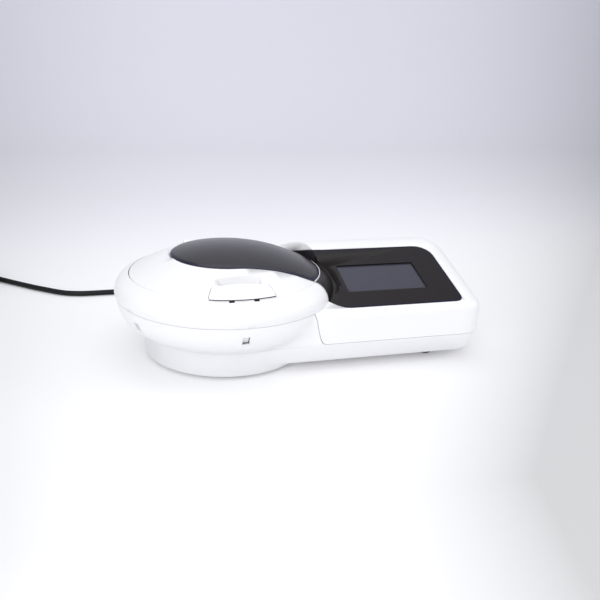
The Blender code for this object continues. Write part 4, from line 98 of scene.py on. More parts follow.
# %% [markdown]
# ## Mains lead
# A lead is a fixed length of something flexible. It leaves its strain relief straight, sinks to the
# bench behind the body, and runs off to the left. What is not in use lies in a tied coil there.
# The route's own points are few and listed. A smooth curve through them gives the rest,
# because straight runs and arcs would look like bent wire.

# %% Route of the free stretch
CORD_RADIUS = 0.0032
INLET_X = 0.0728
REAR_HEIGHT = 0.0420
RELIEF_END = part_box("lead_relief")[1].y
CORD_LIFT = 0.0002
CORD_POINT_SPACING = 0.015
CORD_ROUTE = ((0.0712, 0.1680, 0.0375), (0.0620, 0.1880, 0.0235),
              (0.0400, 0.2050, 0.0105), (0.0080, 0.2120, 0.0046), (-0.0400, 0.2060, 0.0034),
              (-0.0860, 0.1940, 0.0034), (-0.1300, 0.1850, 0.0034), (-0.1772, 0.1830, 0.0034),
              (-0.2262, 0.1860, 0.0034), (-0.2622, 0.2100, 0.0034), (-0.2890, 0.2335, 0.0034),
              (-0.3142, 0.2562, 0.0038))


def smooth_route(places, spacing):
    """Evenly spaced points on a smooth curve through a route's own points."""
    places = [Vector(place) for place in places]
    marks = [0]
    for before, after in zip(places, places[1:]):
        marks.append(marks[-1] + (after - before).length)
    slopes = []
    for index in range(len(places)):
        low = max(index - 1, 0)
        high = min(index + 1, len(places) - 1)
        slopes.append((places[high] - places[low]) / (marks[high] - marks[low]))
    count = round(marks[-1] / spacing)
    points = []
    span = 0
    for step in range(count + 1):
        here = marks[-1] * step / count
        while span < len(places) - 2 and here > marks[span + 1]:
            span += 1
        run = marks[span + 1] - marks[span]
        t = (here - marks[span]) / run
        point = (places[span] * (2 * t ** 3 - 3 * t ** 2 + 1) + slopes[span] * run * (t ** 3 - 2 * t ** 2 + t)
                 + places[span + 1] * (3 * t ** 2 - 2 * t ** 3) + slopes[span + 1] * run * (t ** 3 - t ** 2))
        point.z = max(point.z, CORD_RADIUS + CORD_LIFT)
        points.append(point)
    return points


print(len(CORD_ROUTE), "points chosen by hand")

# %% [markdown]
# The coil spirals in, climbs a layer in the half turn where it reverses, and spirals out again on
# top, so that its turns lie beside and on each other. Its tail rises to the plug.

# %% Route of the coil
COIL_CENTRE = Vector((-0.3697, 0.2457, 0))
COIL_RADIUS = 0.0450
COIL_ENTRY = math.radians(48.3)
COIL_PITCH = 0.0071
COIL_LAYER_TURNS = 2.75
COIL_CLIMB_TURNS = 0.5
COIL_LOOP_POINTS = 24
TIE_ROOM = 0.0014
COIL_LOW = TIE_ROOM + CORD_RADIUS
COIL_TAIL = 0.0320
STRAIGHT_END = 2 * CORD_RADIUS
COIL_HEADING = Vector((-math.sin(COIL_ENTRY), math.cos(COIL_ENTRY), 0))
PLUG_AXIS_HEIGHT = 0.0123


def coil_place(turn):
    """Point of the coil after a number of turns."""
    inner = COIL_RADIUS - COIL_PITCH * COIL_LAYER_TURNS
    climb = min(max((turn - COIL_LAYER_TURNS) / COIL_CLIMB_TURNS, 0), 1)
    if turn < COIL_LAYER_TURNS:
        radius = COIL_RADIUS - COIL_PITCH * turn
    elif climb < 1:
        radius = inner - COIL_PITCH * COIL_CLIMB_TURNS * climb * (1 - climb)
    else:
        radius = inner + COIL_PITCH * (turn - COIL_LAYER_TURNS - COIL_CLIMB_TURNS)
    height = COIL_LOW + COIL_PITCH * climb ** 2 * (3 - 2 * climb)
    angle = COIL_ENTRY + math.tau * turn
    return COIL_CENTRE + Vector((radius * math.cos(angle), radius * math.sin(angle), height))


def beside_coil(place, along, height):
    """A point past an end of the coil, in line with it."""
    past = place + COIL_HEADING * along
    return Vector((past.x, past.y, height))


coil_turns = 2 * COIL_LAYER_TURNS + COIL_CLIMB_TURNS
coil_count = round(coil_turns * COIL_LOOP_POINTS)
coil = [coil_place(coil_turns * step / coil_count) for step in range(coil_count + 1)]
tail = [beside_coil(coil[-1], COIL_TAIL - 2 * STRAIGHT_END, PLUG_AXIS_HEIGHT),
        beside_coil(coil[-1], COIL_TAIL, PLUG_AXIS_HEIGHT)]
print("coil of", coil_turns, "turns")

# %% Whole route
TOUCH_GAP = 0.0003

lead_start = Vector((INLET_X, RELIEF_END + TOUCH_GAP, REAR_HEIGHT))
lead_first = lead_start + Vector((0, STRAIGHT_END, 0))
lead_last = beside_coil(coil[0], -STRAIGHT_END - TOUCH_GAP, COIL_LOW)
free_stretch = smooth_route([lead_first, *CORD_ROUTE, lead_last], CORD_POINT_SPACING)
lead_route = [lead_start, *free_stretch, *coil, *tail]

# %% [markdown]
# A tube could be skinned as a mesh, ring by ring. A curve with a round bevel does the same with far
# fewer numbers and stays a true tube however it bends. Handles of the AUTO kind make it run smoothly
# through its points. The bevel is one metre deep and each point's radius scales it down, because a
# curve's box takes in the points' radii.

# %% Lead as a curve
CORD_SIDE_RESOLUTION = 4
CORD_STEPS_BETWEEN_POINTS = 4


def tube(name, points, radius):
    """A round tube along a list of points, with closed ends."""
    curve = bpy.data.curves.new(name, 'CURVE')
    curve.dimensions = '3D'
    curve.bevel_depth = 1
    curve.bevel_resolution = CORD_SIDE_RESOLUTION
    curve.use_fill_caps = True
    curve.resolution_u = CORD_STEPS_BETWEEN_POINTS
    spline = curve.splines.new('BEZIER')
    spline.bezier_points.add(len(points) - 1)
    for point, place in zip(spline.bezier_points, points):
        point.co = place
        point.radius = radius
        point.handle_left = place
        point.handle_right = place
    for point in spline.bezier_points:
        point.handle_left_type = 'AUTO'
        point.handle_right_type = 'AUTO'
    spline.use_smooth = True
    thing = bpy.data.objects.new(name, curve)
    bpy.context.scene.collection.objects.link(thing)
    return thing


lead = tube("mains_lead_cord", lead_route, CORD_RADIUS)
print("lead curve", round(2000 * CORD_RADIUS, 1), "mm thick")

# %% [markdown]
# ## Stage and light
# The unit stands in a white sweep: a floor that curves up into a wall, as paper does in a studio. Its
# profile is a row of edges, and one extrusion across gives the sheet, which needs no more than that.

# %% Sweep
SWEEP_WIDTH = 9.0
SWEEP_FRONT = -3.0
SWEEP_BACK = 2.4
SWEEP_BEND = 0.9
SWEEP_TOP = 4.5
SWEEP_STEPS = 16

bm = bmesh.new()
profile = [bm.verts.new((-SWEEP_WIDTH / 2, SWEEP_FRONT, 0))]
for step in range(SWEEP_STEPS + 1):
    turn = math.pi / 2 * step / SWEEP_STEPS
    profile.append(bm.verts.new((-SWEEP_WIDTH / 2, SWEEP_BACK - SWEEP_BEND + SWEEP_BEND * math.sin(turn),
                                 SWEEP_BEND * (1 - math.cos(turn)))))
profile.append(bm.verts.new((-SWEEP_WIDTH / 2, SWEEP_BACK, SWEEP_TOP)))
sweep_edges = [bm.edges.new(pair) for pair in zip(profile, profile[1:])]
extruded = bmesh.ops.extrude_edge_only(bm, edges=sweep_edges)
bmesh.ops.translate(bm, vec=(SWEEP_WIDTH, 0, 0),
                    verts=[item for item in extruded["geom"] if isinstance(item, bmesh.types.BMVert)])
bmesh.ops.recalc_face_normals(bm, faces=bm.faces)
for face in bm.faces:
    face.smooth = True
sweep_mesh = bpy.data.meshes.new("sweep")
bm.to_mesh(sweep_mesh)
bm.free()
sweep = bpy.data.objects.new("sweep", sweep_mesh)
bpy.context.scene.collection.objects.link(sweep)
print("sweep of", len(sweep_edges), "faces")

# %% [markdown]
# A colour that is read off a screen is not what a shader takes: screens store it on a curve that
# spares the dark tones. One small function, with the numbers of the sRGB standard, turns the one
# into the other, so that a colour can be written as it looks.


# %% Colours as they look on a screen
def tone(red, green, blue):
    """A colour read off a screen, 0 to 255, as the linear values that a shader takes."""
    values = []
    for value in (red, green, blue):
        share = value / 255
        values.append(share / 12.92 if share <= 0.04045 else ((share + 0.055) / 1.055) ** 2.4)
    return (*values, 1.0)


print("mid grey", round(tone(128, 128, 128)[0], 3))

# %% [markdown]
# The photograph's floor is almost white and its wall a pale lilac grey, brighter in a pool round the
# unit. Each tone below stands at the distance behind the unit where it is seen, in metres. With that
# distance, the pool's middle moves to the right, and it falls off over a greater width.

# %% Tones of the sweep
SWEEP_REACH = (-0.3, 2.1)
SWEEP_TONES = ((-0.30, (254, 254, 255)), (0.12, (253, 253, 255)), (0.40, (246, 246, 251)),
               (0.60, (238, 238, 245)), (0.86, (232, 233, 239)), (1.30, (235, 235, 243)),
               (1.90, (238, 238, 249)))
POOL_SHIFT = -0.02
POOL_DRIFT = 0.31
POOL_WIDTH = 0.31
POOL_GROWTH = 0.47
POOL_CORE = 0.20
POOL_FALL = 0.36
POOL_START = -2.2
POOL_LEAST_WIDTH = 0.18


def arithmetic(nodes, links, operation, first, second):
    """A Math node on two inputs, each a socket or a number."""
    node = nodes.new('ShaderNodeMath')
    node.operation = operation
    for socket, given in zip(node.inputs, (first, second)):
        if isinstance(given, bpy.types.NodeSocket):
            links.new(given, socket)
        else:
            socket.default_value = given
    return node.outputs[0]


print(len(SWEEP_TONES), "tones from", SWEEP_REACH[0], "to", SWEEP_REACH[1], "m")

# %% Sweep's tone at a distance
material = bpy.data.materials.new("sweep")
material.use_nodes = True
nodes, links = material.node_tree.nodes, material.node_tree.links
nodes.clear()
place = nodes.new('ShaderNodeTexCoord')
split = nodes.new('ShaderNodeSeparateXYZ')
links.new(place.outputs['Object'], split.inputs[0])
across, along = split.outputs['X'], split.outputs['Y']
depth = nodes.new('ShaderNodeMapRange')
depth.inputs['From Min'].default_value = SWEEP_REACH[0]
depth.inputs['From Max'].default_value = SWEEP_REACH[1]
links.new(along, depth.inputs['Value'])
tones = nodes.new('ShaderNodeValToRGB')
tones.color_ramp.interpolation = 'B_SPLINE'
while len(tones.color_ramp.elements) < len(SWEEP_TONES):
    tones.color_ramp.elements.new(1)
for stop, (where, colour) in zip(tones.color_ramp.elements, SWEEP_TONES):
    stop.position = (where - SWEEP_REACH[0]) / (SWEEP_REACH[1] - SWEEP_REACH[0])
    stop.color = tone(*colour)
links.new(depth.outputs['Result'], tones.inputs['Fac'])
print("ramp of", len(tones.color_ramp.elements), "stops")

# %% Pool of light on the sweep
centre = arithmetic(nodes, links, 'ADD', arithmetic(nodes, links, 'MULTIPLY', along, POOL_DRIFT), POOL_SHIFT)
width = arithmetic(nodes, links, 'ADD', arithmetic(nodes, links, 'MULTIPLY', along, POOL_GROWTH), POOL_WIDTH)
width = arithmetic(nodes, links, 'MAXIMUM', width, POOL_LEAST_WIDTH)
aside = arithmetic(nodes, links, 'ABSOLUTE', arithmetic(nodes, links, 'SUBTRACT', across, centre), 0)
beyond = arithmetic(nodes, links, 'SUBTRACT', arithmetic(nodes, links, 'DIVIDE', aside, width), POOL_CORE)
beyond = arithmetic(nodes, links, 'MINIMUM', arithmetic(nodes, links, 'MAXIMUM', beyond, 0), 1)
start = nodes.new('ShaderNodeMapRange')
start.interpolation_type = 'SMOOTHSTEP'
start.inputs['From Min'].default_value = POOL_START
start.inputs['From Max'].default_value = SWEEP_REACH[0]
links.new(along, start.inputs['Value'])
fall = arithmetic(nodes, links, 'MULTIPLY', arithmetic(nodes, links, 'POWER', beyond, 2), POOL_FALL)
fall = arithmetic(nodes, links, 'MULTIPLY', fall, start.outputs['Result'])
pool = nodes.new('ShaderNodeVectorMath')
pool.operation = 'SCALE'
links.new(tones.outputs['Color'], pool.inputs[0])
links.new(arithmetic(nodes, links, 'SUBTRACT', 1, fall), pool.inputs['Scale'])
print("pool falls off over", POOL_WIDTH, "m to each side of the unit")

# %% [markdown]
# More light on a white sweep would also wash out the unit. So where a ray comes from the camera, a
# mirror or glass, a small share of the sweep's tone glows by itself and the rest is lit as usual.
# Most of the brightness still comes from the lamps, which keeps the unit's shadow. Light that
# bounces off the sweep meets a plain matt white instead.

# %% What is seen of the sweep
SWEEP_LIT_SHARE = 0.84
SWEEP_MATT = (0.86, 0.86, 0.88, 1)

matt = nodes.new('ShaderNodeBsdfDiffuse')
matt.inputs['Color'].default_value = SWEEP_MATT
lit_matt = nodes.new('ShaderNodeBsdfDiffuse')
lit_tone = nodes.new('ShaderNodeVectorMath')
lit_tone.operation = 'SCALE'
lit_tone.inputs['Scale'].default_value = SWEEP_LIT_SHARE
links.new(pool.outputs[0], lit_tone.inputs[0])
links.new(lit_tone.outputs[0], lit_matt.inputs['Color'])
glow = nodes.new('ShaderNodeEmission')
glow.inputs['Strength'].default_value = 1 - SWEEP_LIT_SHARE
links.new(pool.outputs[0], glow.inputs['Color'])
seen = nodes.new('ShaderNodeAddShader')
links.new(lit_matt.outputs[0], seen.inputs[0])
links.new(glow.outputs[0], seen.inputs[1])
rays = nodes.new('ShaderNodeLightPath').outputs
any_view = arithmetic(nodes, links, 'MAXIMUM', rays['Is Camera Ray'], rays['Is Glossy Ray'])
any_view = arithmetic(nodes, links, 'MAXIMUM', any_view, rays['Is Transmission Ray'])
choice = nodes.new('ShaderNodeMixShader')
links.new(any_view, choice.inputs['Fac'])
links.new(matt.outputs[0], choice.inputs[1])
links.new(seen.outputs[0], choice.inputs[2])
output = nodes.new('ShaderNodeOutputMaterial')
links.new(choice.outputs[0], output.inputs['Surface'])
sweep.data.materials.append(material)
print("sweep glows by", round(1 - SWEEP_LIT_SHARE, 2), "of its tone")

# %% [markdown]
# A white moulding shows its form only through soft shade. Broad area lamps give that: a large one
# overhead, one from the front left and a narrower one from the right. A pale world fills the rest.
# Each row holds a name, a place, a target, a width and height in metres, and a power in watts.

# %% Lamps
LAMPS = (("overhead_lamp", (0.1, 0.2, 1.7), (0.0, 0.0, 0.05), 1.9, 1.5, 10),
         ("front_lamp", (-1.0, -1.8, 1.1), (0.0, 0.0, 0.05), 1.4, 1.4, 22),
         ("side_lamp", (1.7, -0.3, 0.9), (0.05, 0.0, 0.05), 0.8, 1.4, 5))
WORLD_COLOUR = (0.96, 0.97, 1.0, 1)
WORLD_STRENGTH = 0.62

for name, place, target, width, height, power in LAMPS:
    light = bpy.data.lights.new(name, 'AREA')
    light.shape = 'RECTANGLE'
    light.size = width
    light.size_y = height
    light.energy = power
    lamp = bpy.data.objects.new(name, light)
    bpy.context.scene.collection.objects.link(lamp)
    lamp.location = place
    lamp.rotation_euler = (Vector(target) - Vector(place)).to_track_quat('-Z', 'Y').to_euler()

world = bpy.data.worlds.new("studio")
bpy.context.scene.world = world
world.use_nodes = True
world.node_tree.nodes["Background"].inputs['Color'].default_value = WORLD_COLOUR
world.node_tree.nodes["Background"].inputs['Strength'].default_value = WORLD_STRENGTH
bpy.context.scene.view_settings.view_transform = 'Standard'
print(len(LAMPS), "lamps")

# %% [markdown]
# ## Finishes
# Most of the unit is moulded plastic. A real moulding is never one flat colour: the tool's grain
# gives its surface a fine bump, and its gloss and tint drift a little from place to place. Several
# materials need that, so it is a node group with a few inputs, and each material gives its values.

# %% Sockets of the grain group
GRAIN_INPUTS = (("Colour", 'NodeSocketColor', (0.8, 0.8, 0.8, 1)),
                ("Grain Scale", 'NodeSocketFloat', 2500),
                ("Drift Scale", 'NodeSocketFloat', 30),
                ("Tint Drift", 'NodeSocketFloat', 0.03),
                ("Roughness", 'NodeSocketFloat', 0.4),
                ("Roughness Drift", 'NodeSocketFloat', 0.06))
GRAIN_OUTPUTS = (("Colour", 'NodeSocketColor'), ("Roughness", 'NodeSocketFloat'),
                 ("Height", 'NodeSocketFloat'))

grain_group = bpy.data.node_groups.new("moulded_grain", 'ShaderNodeTree')
for name, kind, value in GRAIN_INPUTS:
    socket = grain_group.interface.new_socket(name=name, in_out='INPUT', socket_type=kind)
    socket.default_value = value
for name, kind in GRAIN_OUTPUTS:
    grain_group.interface.new_socket(name=name, in_out='OUTPUT', socket_type=kind)
print("grain group with", len(GRAIN_INPUTS), "inputs and", len(GRAIN_OUTPUTS), "outputs")

# %% Inside the grain group
GRAIN_DETAIL = 3
DRIFT_DETAIL = 4
NOISE_MIDDLE = 0.5


def noise_of(nodes, links, place, scale, detail):
    """Noise on Object coordinates, at a scale that a socket gives."""
    noise = nodes.new('ShaderNodeTexNoise')
    noise.inputs['Detail'].default_value = detail
    links.new(place.outputs['Object'], noise.inputs['Vector'])
    links.new(scale, noise.inputs['Scale'])
    return noise.outputs['Fac']


nodes, links = grain_group.nodes, grain_group.links
given = nodes.new('NodeGroupInput').outputs
made = nodes.new('NodeGroupOutput').inputs
place = nodes.new('ShaderNodeTexCoord')
grain = noise_of(nodes, links, place, given["Grain Scale"], GRAIN_DETAIL)
drift = noise_of(nodes, links, place, given["Drift Scale"], DRIFT_DETAIL)
centred = arithmetic(nodes, links, 'SUBTRACT', drift, NOISE_MIDDLE)
rough = arithmetic(nodes, links, 'MULTIPLY', centred, given["Roughness Drift"])
shade = arithmetic(nodes, links, 'MULTIPLY', centred, given["Tint Drift"])
tinted = nodes.new('ShaderNodeVectorMath')
tinted.operation = 'SCALE'
links.new(given["Colour"], tinted.inputs[0])
links.new(arithmetic(nodes, links, 'ADD', shade, 1), tinted.inputs['Scale'])
links.new(tinted.outputs[0], made["Colour"])
links.new(arithmetic(nodes, links, 'ADD', rough, given["Roughness"]), made["Roughness"])
links.new(grain, made["Height"])
print(len(nodes), "nodes inside it")

# %% Moulded plastics and rubbers
FINISHES = {}
ROUGHNESS_DRIFT_SHARE = 0.25
COAT_ROUGHNESS = 0.06


def moulded(name, colour, roughness, grain_scale, depth, drift=0.03, coat=0.0, specular=0.5):
    """A plastic or rubber with moulded grain. Depth is the height of the grain in metres."""
    material = bpy.data.materials.new(name)
    material.use_nodes = True
    nodes, links = material.node_tree.nodes, material.node_tree.links
    shader = nodes["Principled BSDF"]
    grain = nodes.new('ShaderNodeGroup')
    grain.node_tree = grain_group
    grain.inputs["Colour"].default_value = colour
    grain.inputs["Grain Scale"].default_value = grain_scale
    grain.inputs["Tint Drift"].default_value = drift
    grain.inputs["Roughness"].default_value = roughness
    grain.inputs["Roughness Drift"].default_value = roughness * ROUGHNESS_DRIFT_SHARE
    bump = nodes.new('ShaderNodeBump')
    bump.inputs['Distance'].default_value = depth
    links.new(grain.outputs["Height"], bump.inputs['Height'])
    links.new(grain.outputs["Colour"], shader.inputs['Base Color'])
    links.new(grain.outputs["Roughness"], shader.inputs['Roughness'])
    links.new(bump.outputs['Normal'], shader.inputs['Normal'])
    shader.inputs['Coat Weight'].default_value = coat
    shader.inputs['Coat Roughness'].default_value = COAT_ROUGHNESS
    shader.inputs['Specular IOR Level'].default_value = specular
    material.diffuse_color = colour
    FINISHES[name] = material
    return material


moulded("white_casing", tone(243, 243, 245), 0.34, 2600, 0.000004, 0.015)
moulded("black_panel", tone(26, 22, 22), 0.30, 2200, 0.000003, 0.10, specular=0.20)
moulded("dark_gloss", tone(40, 40, 42), 0.26, 900, 0.0000006, 0.08, specular=0.42)
moulded("dark_plastic", tone(58, 58, 61), 0.50, 2400, 0.000008)
moulded("black_plastic", tone(32, 32, 34), 0.44, 2600, 0.000010)
moulded("grey_plastic", tone(168, 170, 174), 0.46, 2400, 0.000006)
moulded("pad_foam", tone(104, 108, 114), 0.92, 1500, 0.00006, 0.15)
moulded("foot_rubber", tone(36, 36, 36), 0.82, 1400, 0.00002, 0.12)
moulded("cord_rubber", tone(14, 14, 15), 0.46, 1800, 0.000012, 0.10, specular=0.25)
print(len(FINISHES), "moulded finishes")

# %% [markdown]
# Metal that was brushed or turned has fine lines. Noise that is stretched far along one axis gives
# them, and drives the roughness as well as the bump, so that a highlight breaks up along the lines.

# %% Metals
LINE_DETAIL = 5
LINE_ROUGHNESS_SHARES = (0.7, 1.4)


def metal(name, colour, roughness, stretch, depth):
    """A metal with fine lines. Stretch gives the pattern's scale along each axis."""
    material = bpy.data.materials.new(name)
    material.use_nodes = True
    nodes, links = material.node_tree.nodes, material.node_tree.links
    shader = nodes["Principled BSDF"]
    place = nodes.new('ShaderNodeTexCoord')
    mapping = nodes.new('ShaderNodeMapping')
    mapping.inputs['Scale'].default_value = stretch
    links.new(place.outputs['Object'], mapping.inputs['Vector'])
    lines = nodes.new('ShaderNodeTexNoise')
    lines.inputs['Scale'].default_value = 1
    lines.inputs['Detail'].default_value = LINE_DETAIL
    links.new(mapping.outputs['Vector'], lines.inputs['Vector'])
    rough = nodes.new('ShaderNodeMapRange')
    rough.inputs['To Min'].default_value = roughness * LINE_ROUGHNESS_SHARES[0]
    rough.inputs['To Max'].default_value = roughness * LINE_ROUGHNESS_SHARES[1]
    links.new(lines.outputs['Fac'], rough.inputs['Value'])
    bump = nodes.new('ShaderNodeBump')
    bump.inputs['Distance'].default_value = depth
    links.new(lines.outputs['Fac'], bump.inputs['Height'])
    links.new(rough.outputs['Result'], shader.inputs['Roughness'])
    links.new(bump.outputs['Normal'], shader.inputs['Normal'])
    shader.inputs['Base Color'].default_value = colour
    shader.inputs['Metallic'].default_value = 1
    material.diffuse_color = colour
    FINISHES[name] = material
    return material


metal("steel", (0.58, 0.58, 0.59, 1), 0.30, (900, 900, 250), 0.000002)
metal("brushed_metal", (0.66, 0.66, 0.67, 1), 0.32, (12, 1800, 1800), 0.000003)
metal("dark_metal", (0.16, 0.16, 0.17, 1), 0.48, (300, 300, 900), 0.000004)
metal("brass", (0.72, 0.54, 0.26, 1), 0.28, (700, 700, 300), 0.000002)
print(len(FINISHES), "finishes with the metals")

# %% [markdown]
# The screen is off: a slate grey liquid crystal under a clear, smooth cover. Real glass over a second
# surface would do, but the shader's own coat is such a cover and gives the same gloss for less.

# %% Screen
SCREEN_COAT_ROUGHNESS = 0.03

screen = moulded("screen_glass", tone(60, 61, 72), 0.16, 1200, 0.0000004, 0.05, coat=0.35, specular=0.30)
screen.node_tree.nodes["Principled BSDF"].inputs['Coat Roughness'].default_value = SCREEN_COAT_ROUGHNESS
print("screen", [round(v, 3) for v in screen.diffuse_color[:3]])

# %% [markdown]
# A circuit board is solder mask over copper, and its tracks show as paler lines. A brick pattern,
# whose joints stand for the tracks, is close enough for boards that lie inside the housing.

# %% Circuit boards
TRACK_SCALE = 90
TRACK_WIDTH = 0.03

board = moulded("board_green", tone(22, 92, 52), 0.36, 1500, 0.000004, 0.08)
nodes, links = board.node_tree.nodes, board.node_tree.links
place = nodes.new('ShaderNodeTexCoord')
tracks = nodes.new('ShaderNodeTexBrick')
tracks.inputs['Scale'].default_value = TRACK_SCALE
tracks.inputs['Mortar Size'].default_value = TRACK_WIDTH
tracks.inputs['Color1'].default_value = tone(20, 86, 48)
tracks.inputs['Color2'].default_value = tone(24, 96, 56)
tracks.inputs['Mortar'].default_value = tone(62, 140, 84)
links.new(place.outputs['Object'], tracks.inputs['Vector'])
links.new(tracks.outputs['Color'], nodes["Principled BSDF"].inputs['Base Color'])
print(len(FINISHES), "finishes in all")

# %% [markdown]
# Towards their edges, the colour of the lid's inlay and of the console's panel turns to a deep blue.
# On the inlay, an attribute of the mesh says where. The panel's front, right and
# rear edges are nearly those of a rounded rectangle, and the distance to it is worked out from the
# Object coordinates. Where the panel runs on past the rectangle, along the lid, it stays black.


# %% Blue border of the dark pieces
def banded(material, mask, colour):
    """Mix a second colour into a material's base colour where a mask is one."""
    nodes, links = material.node_tree.nodes, material.node_tree.links
    shader = nodes["Principled BSDF"]
    mix = nodes.new('ShaderNodeMix')
    mix.data_type = 'RGBA'
    mix.inputs['B'].default_value = colour
    links.new(shader.inputs['Base Color'].links[0].from_socket, mix.inputs['A'])
    links.new(mask, mix.inputs['Factor'])
    links.new(mix.outputs['Result'], shader.inputs['Base Color'])


inlay_border = FINISHES["dark_gloss"].node_tree.nodes.new('ShaderNodeAttribute')
inlay_border.attribute_name = "border"
banded(FINISHES["dark_gloss"], inlay_border.outputs['Fac'], tone(22, 18, 44))

print("inlay's border reads the attribute", inlay_border.attribute_name)

# %% Border of the panel
PANEL_LOW = Vector((-0.10, -0.0745, 0))
PANEL_HIGH = Vector((0.1545, 0.0200, 0))
PANEL_CORNER = 0.013
PANEL_BORDER = 0.0024
PANEL_BORDER_SOFTNESS = 0.0010


def vector_arithmetic(nodes, links, operation, first, second=None):
    """A Vector Math node on one or two inputs, each a socket or a vector."""
    node = nodes.new('ShaderNodeVectorMath')
    node.operation = operation
    for socket, given in zip(node.inputs, (first, second)):
        if isinstance(given, bpy.types.NodeSocket):
            links.new(given, socket)
        elif given is not None:
            socket.default_value = given
    return node.outputs['Value' if operation == 'LENGTH' else 'Vector']


def rounded_border(material, low, high, corner, width, softness):
    """Mask of the strip inside a rounded rectangle, seen from above."""
    nodes, links = material.node_tree.nodes, material.node_tree.links
    centre = (low + high) / 2
    inner = (high - low) / 2 - Vector((corner, corner, 0))
    place = nodes.new('ShaderNodeTexCoord').outputs['Object']
    off_centre = vector_arithmetic(nodes, links, 'SUBTRACT', place, centre)
    flat = vector_arithmetic(nodes, links, 'MULTIPLY', off_centre, (1, 1, 0))
    aside = vector_arithmetic(nodes, links, 'ABSOLUTE', flat)
    past = vector_arithmetic(nodes, links, 'SUBTRACT', aside, inner)
    past = vector_arithmetic(nodes, links, 'MAXIMUM', past, (0, 0, 0))
    distance = vector_arithmetic(nodes, links, 'LENGTH', past)
    edge = nodes.new('ShaderNodeMapRange')
    edge.interpolation_type = 'SMOOTHSTEP'
    edge.inputs['From Min'].default_value = corner - width - softness
    edge.inputs['From Max'].default_value = corner - width
    links.new(distance, edge.inputs['Value'])
    inside = arithmetic(nodes, links, 'LESS_THAN', distance, corner + softness / 2)
    return arithmetic(nodes, links, 'MULTIPLY', edge.outputs['Result'], inside)


panel = FINISHES["black_panel"]
panel_border = rounded_border(panel, PANEL_LOW, PANEL_HIGH, PANEL_CORNER, PANEL_BORDER, PANEL_BORDER_SOFTNESS)
banded(panel, panel_border, tone(18, 13, 36))
print("panel's border", PANEL_BORDER, "m wide")

# %% [markdown]
# ## Smooth copies of the frame's solids
# A solid of the frame is a set of loose triangles. Merged, with its flat faces made whole again
# and its sharp edges rounded, the same shape catches light as a moulding does. The copy stands for
# the node. Round faces are shaded smooth, and faces that meet at a real corner are not. A Bevel
# modifier would round edges too, but an operator lets the script choose them.

# %% Putting a piece in the scene
SMOOTH_ANGLE = math.radians(34)
pieces = {}


def put(name, bm, finish_name, body, *nodes):
    """Put a finished bmesh in the scene as a piece that rides on a body and stands for nodes."""
    mesh = bpy.data.meshes.new(name)
    bm.to_mesh(mesh)
    bm.free()
    mesh.shade_smooth()
    mesh.set_sharp_from_angle(angle=SMOOTH_ANGLE)
    thing = bpy.data.objects.new(name, mesh)
    bpy.context.scene.collection.objects.link(thing)
    mesh.materials.append(FINISHES[finish_name])
    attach(thing, body)
    if nodes:
        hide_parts(*nodes)
    pieces[name] = thing
    return thing


print("corners over", round(math.degrees(SMOOTH_ANGLE)), "degrees stay sharp")

# %% Copying a node
MERGE_DISTANCE = 0.000002
FLAT_ANGLE = math.radians(0.3)
EDGE_SEGMENTS = 2


def merged(node):
    """A bmesh of a CAD node with its triangles joined and its flat faces whole."""
    bm = bmesh.new()
    bm.from_mesh(frame["nodes"][node].data)
    bmesh.ops.remove_doubles(bm, verts=bm.verts, dist=MERGE_DISTANCE)
    bmesh.ops.dissolve_limit(bm, angle_limit=FLAT_ANGLE, verts=bm.verts, edges=bm.edges)
    return bm


def body_of(node):
    """The body that a CAD node rides on."""
    return next(body for body, members in frame["record"]["behaviour"]["bodies"].items() if node in members)


def slot_of(node):
    """The material slot that the record gives a CAD node."""
    return next(row["material_slot"] for row in frame["record"]["subparts"] if row["node"] == node)


def sharp_edges(bm):
    """The edges of a bmesh at which two faces meet at a real corner."""
    return [item for item in bm.edges if len(item.link_faces) == 2
            and item.calc_face_angle(0) > SMOOTH_ANGLE]


def round_off(bm, edges, width, segments):
    """Round edges of a bmesh with a bevel."""
    bmesh.ops.bevel(bm, geom=edges, offset=width, offset_type='OFFSET', segments=segments, profile=0.5,
                    affect='EDGES', clamp_overlap=True, material=-1)


def softened(node, name, edge):
    """A copy of a CAD node, with its sharp edges rounded where edge is more than zero."""
    bm = merged(node)
    if edge > 0:
        round_off(bm, sharp_edges(bm), edge, EDGE_SEGMENTS)
    return put(name, bm, slot_of(node), body_of(node), node)


print("the lid shell rides on", body_of("lid_shell"), "in", slot_of("lid_shell"))

# %% [markdown]
# Every node first gets the finish that the frame's record names for it, so that none is left bare.
# The ones that show most are then copied. Small mouldings at the back and on the lead get a rounded
# edge of a few tenths of a millimetre. The others keep the edges that the frame gives them.

# %% First dressing of every node
for node, thing in frame["nodes"].items():
    thing.data.materials.clear()
    thing.data.materials.append(FINISHES[slot_of(node)])
print(len(frame["nodes"]), "nodes dressed")

# %% Smooth copies
EDGE_OF_COPY = {"lower_housing": 0, "console_panel": 0, "lid_shell": 0, "latch_lever": 0,
                "hinge_block": 0, "well_tray": 0, "lid_liner": 0, "mains_inlet": 0.0004,
                "switch_frame": 0.0003, "power_rocker": 0.0003, "fan_housing": 0, "fan_rotor": 0,
                "lead_connector": 0.0005, "lead_relief": 0, "lead_tie": 0, "mains_plug": 0.0004,
                "display_glass": 0}

for node, edge in EDGE_OF_COPY.items():
    softened(node, node + "_moulding", edge)
print(len(pieces), "smooth copies")

# %% [markdown]
# ## Upper housing
# Behind the lid, the console's crest is cut away by a cone so that the lid can swing. The mould rounds
# the edge between that cone and the crest. So wide a round would spoil the piece's thin walls
# elsewhere, and only the edges that lie on the cone are beveled.

# %% Upper housing
FLARE_SLOPE = 0.3
FLARE_START = 0.004
FLARE_ROUND = 0.0040
FLARE_SEGMENTS = 6
FLARE_REACH = 0.00035


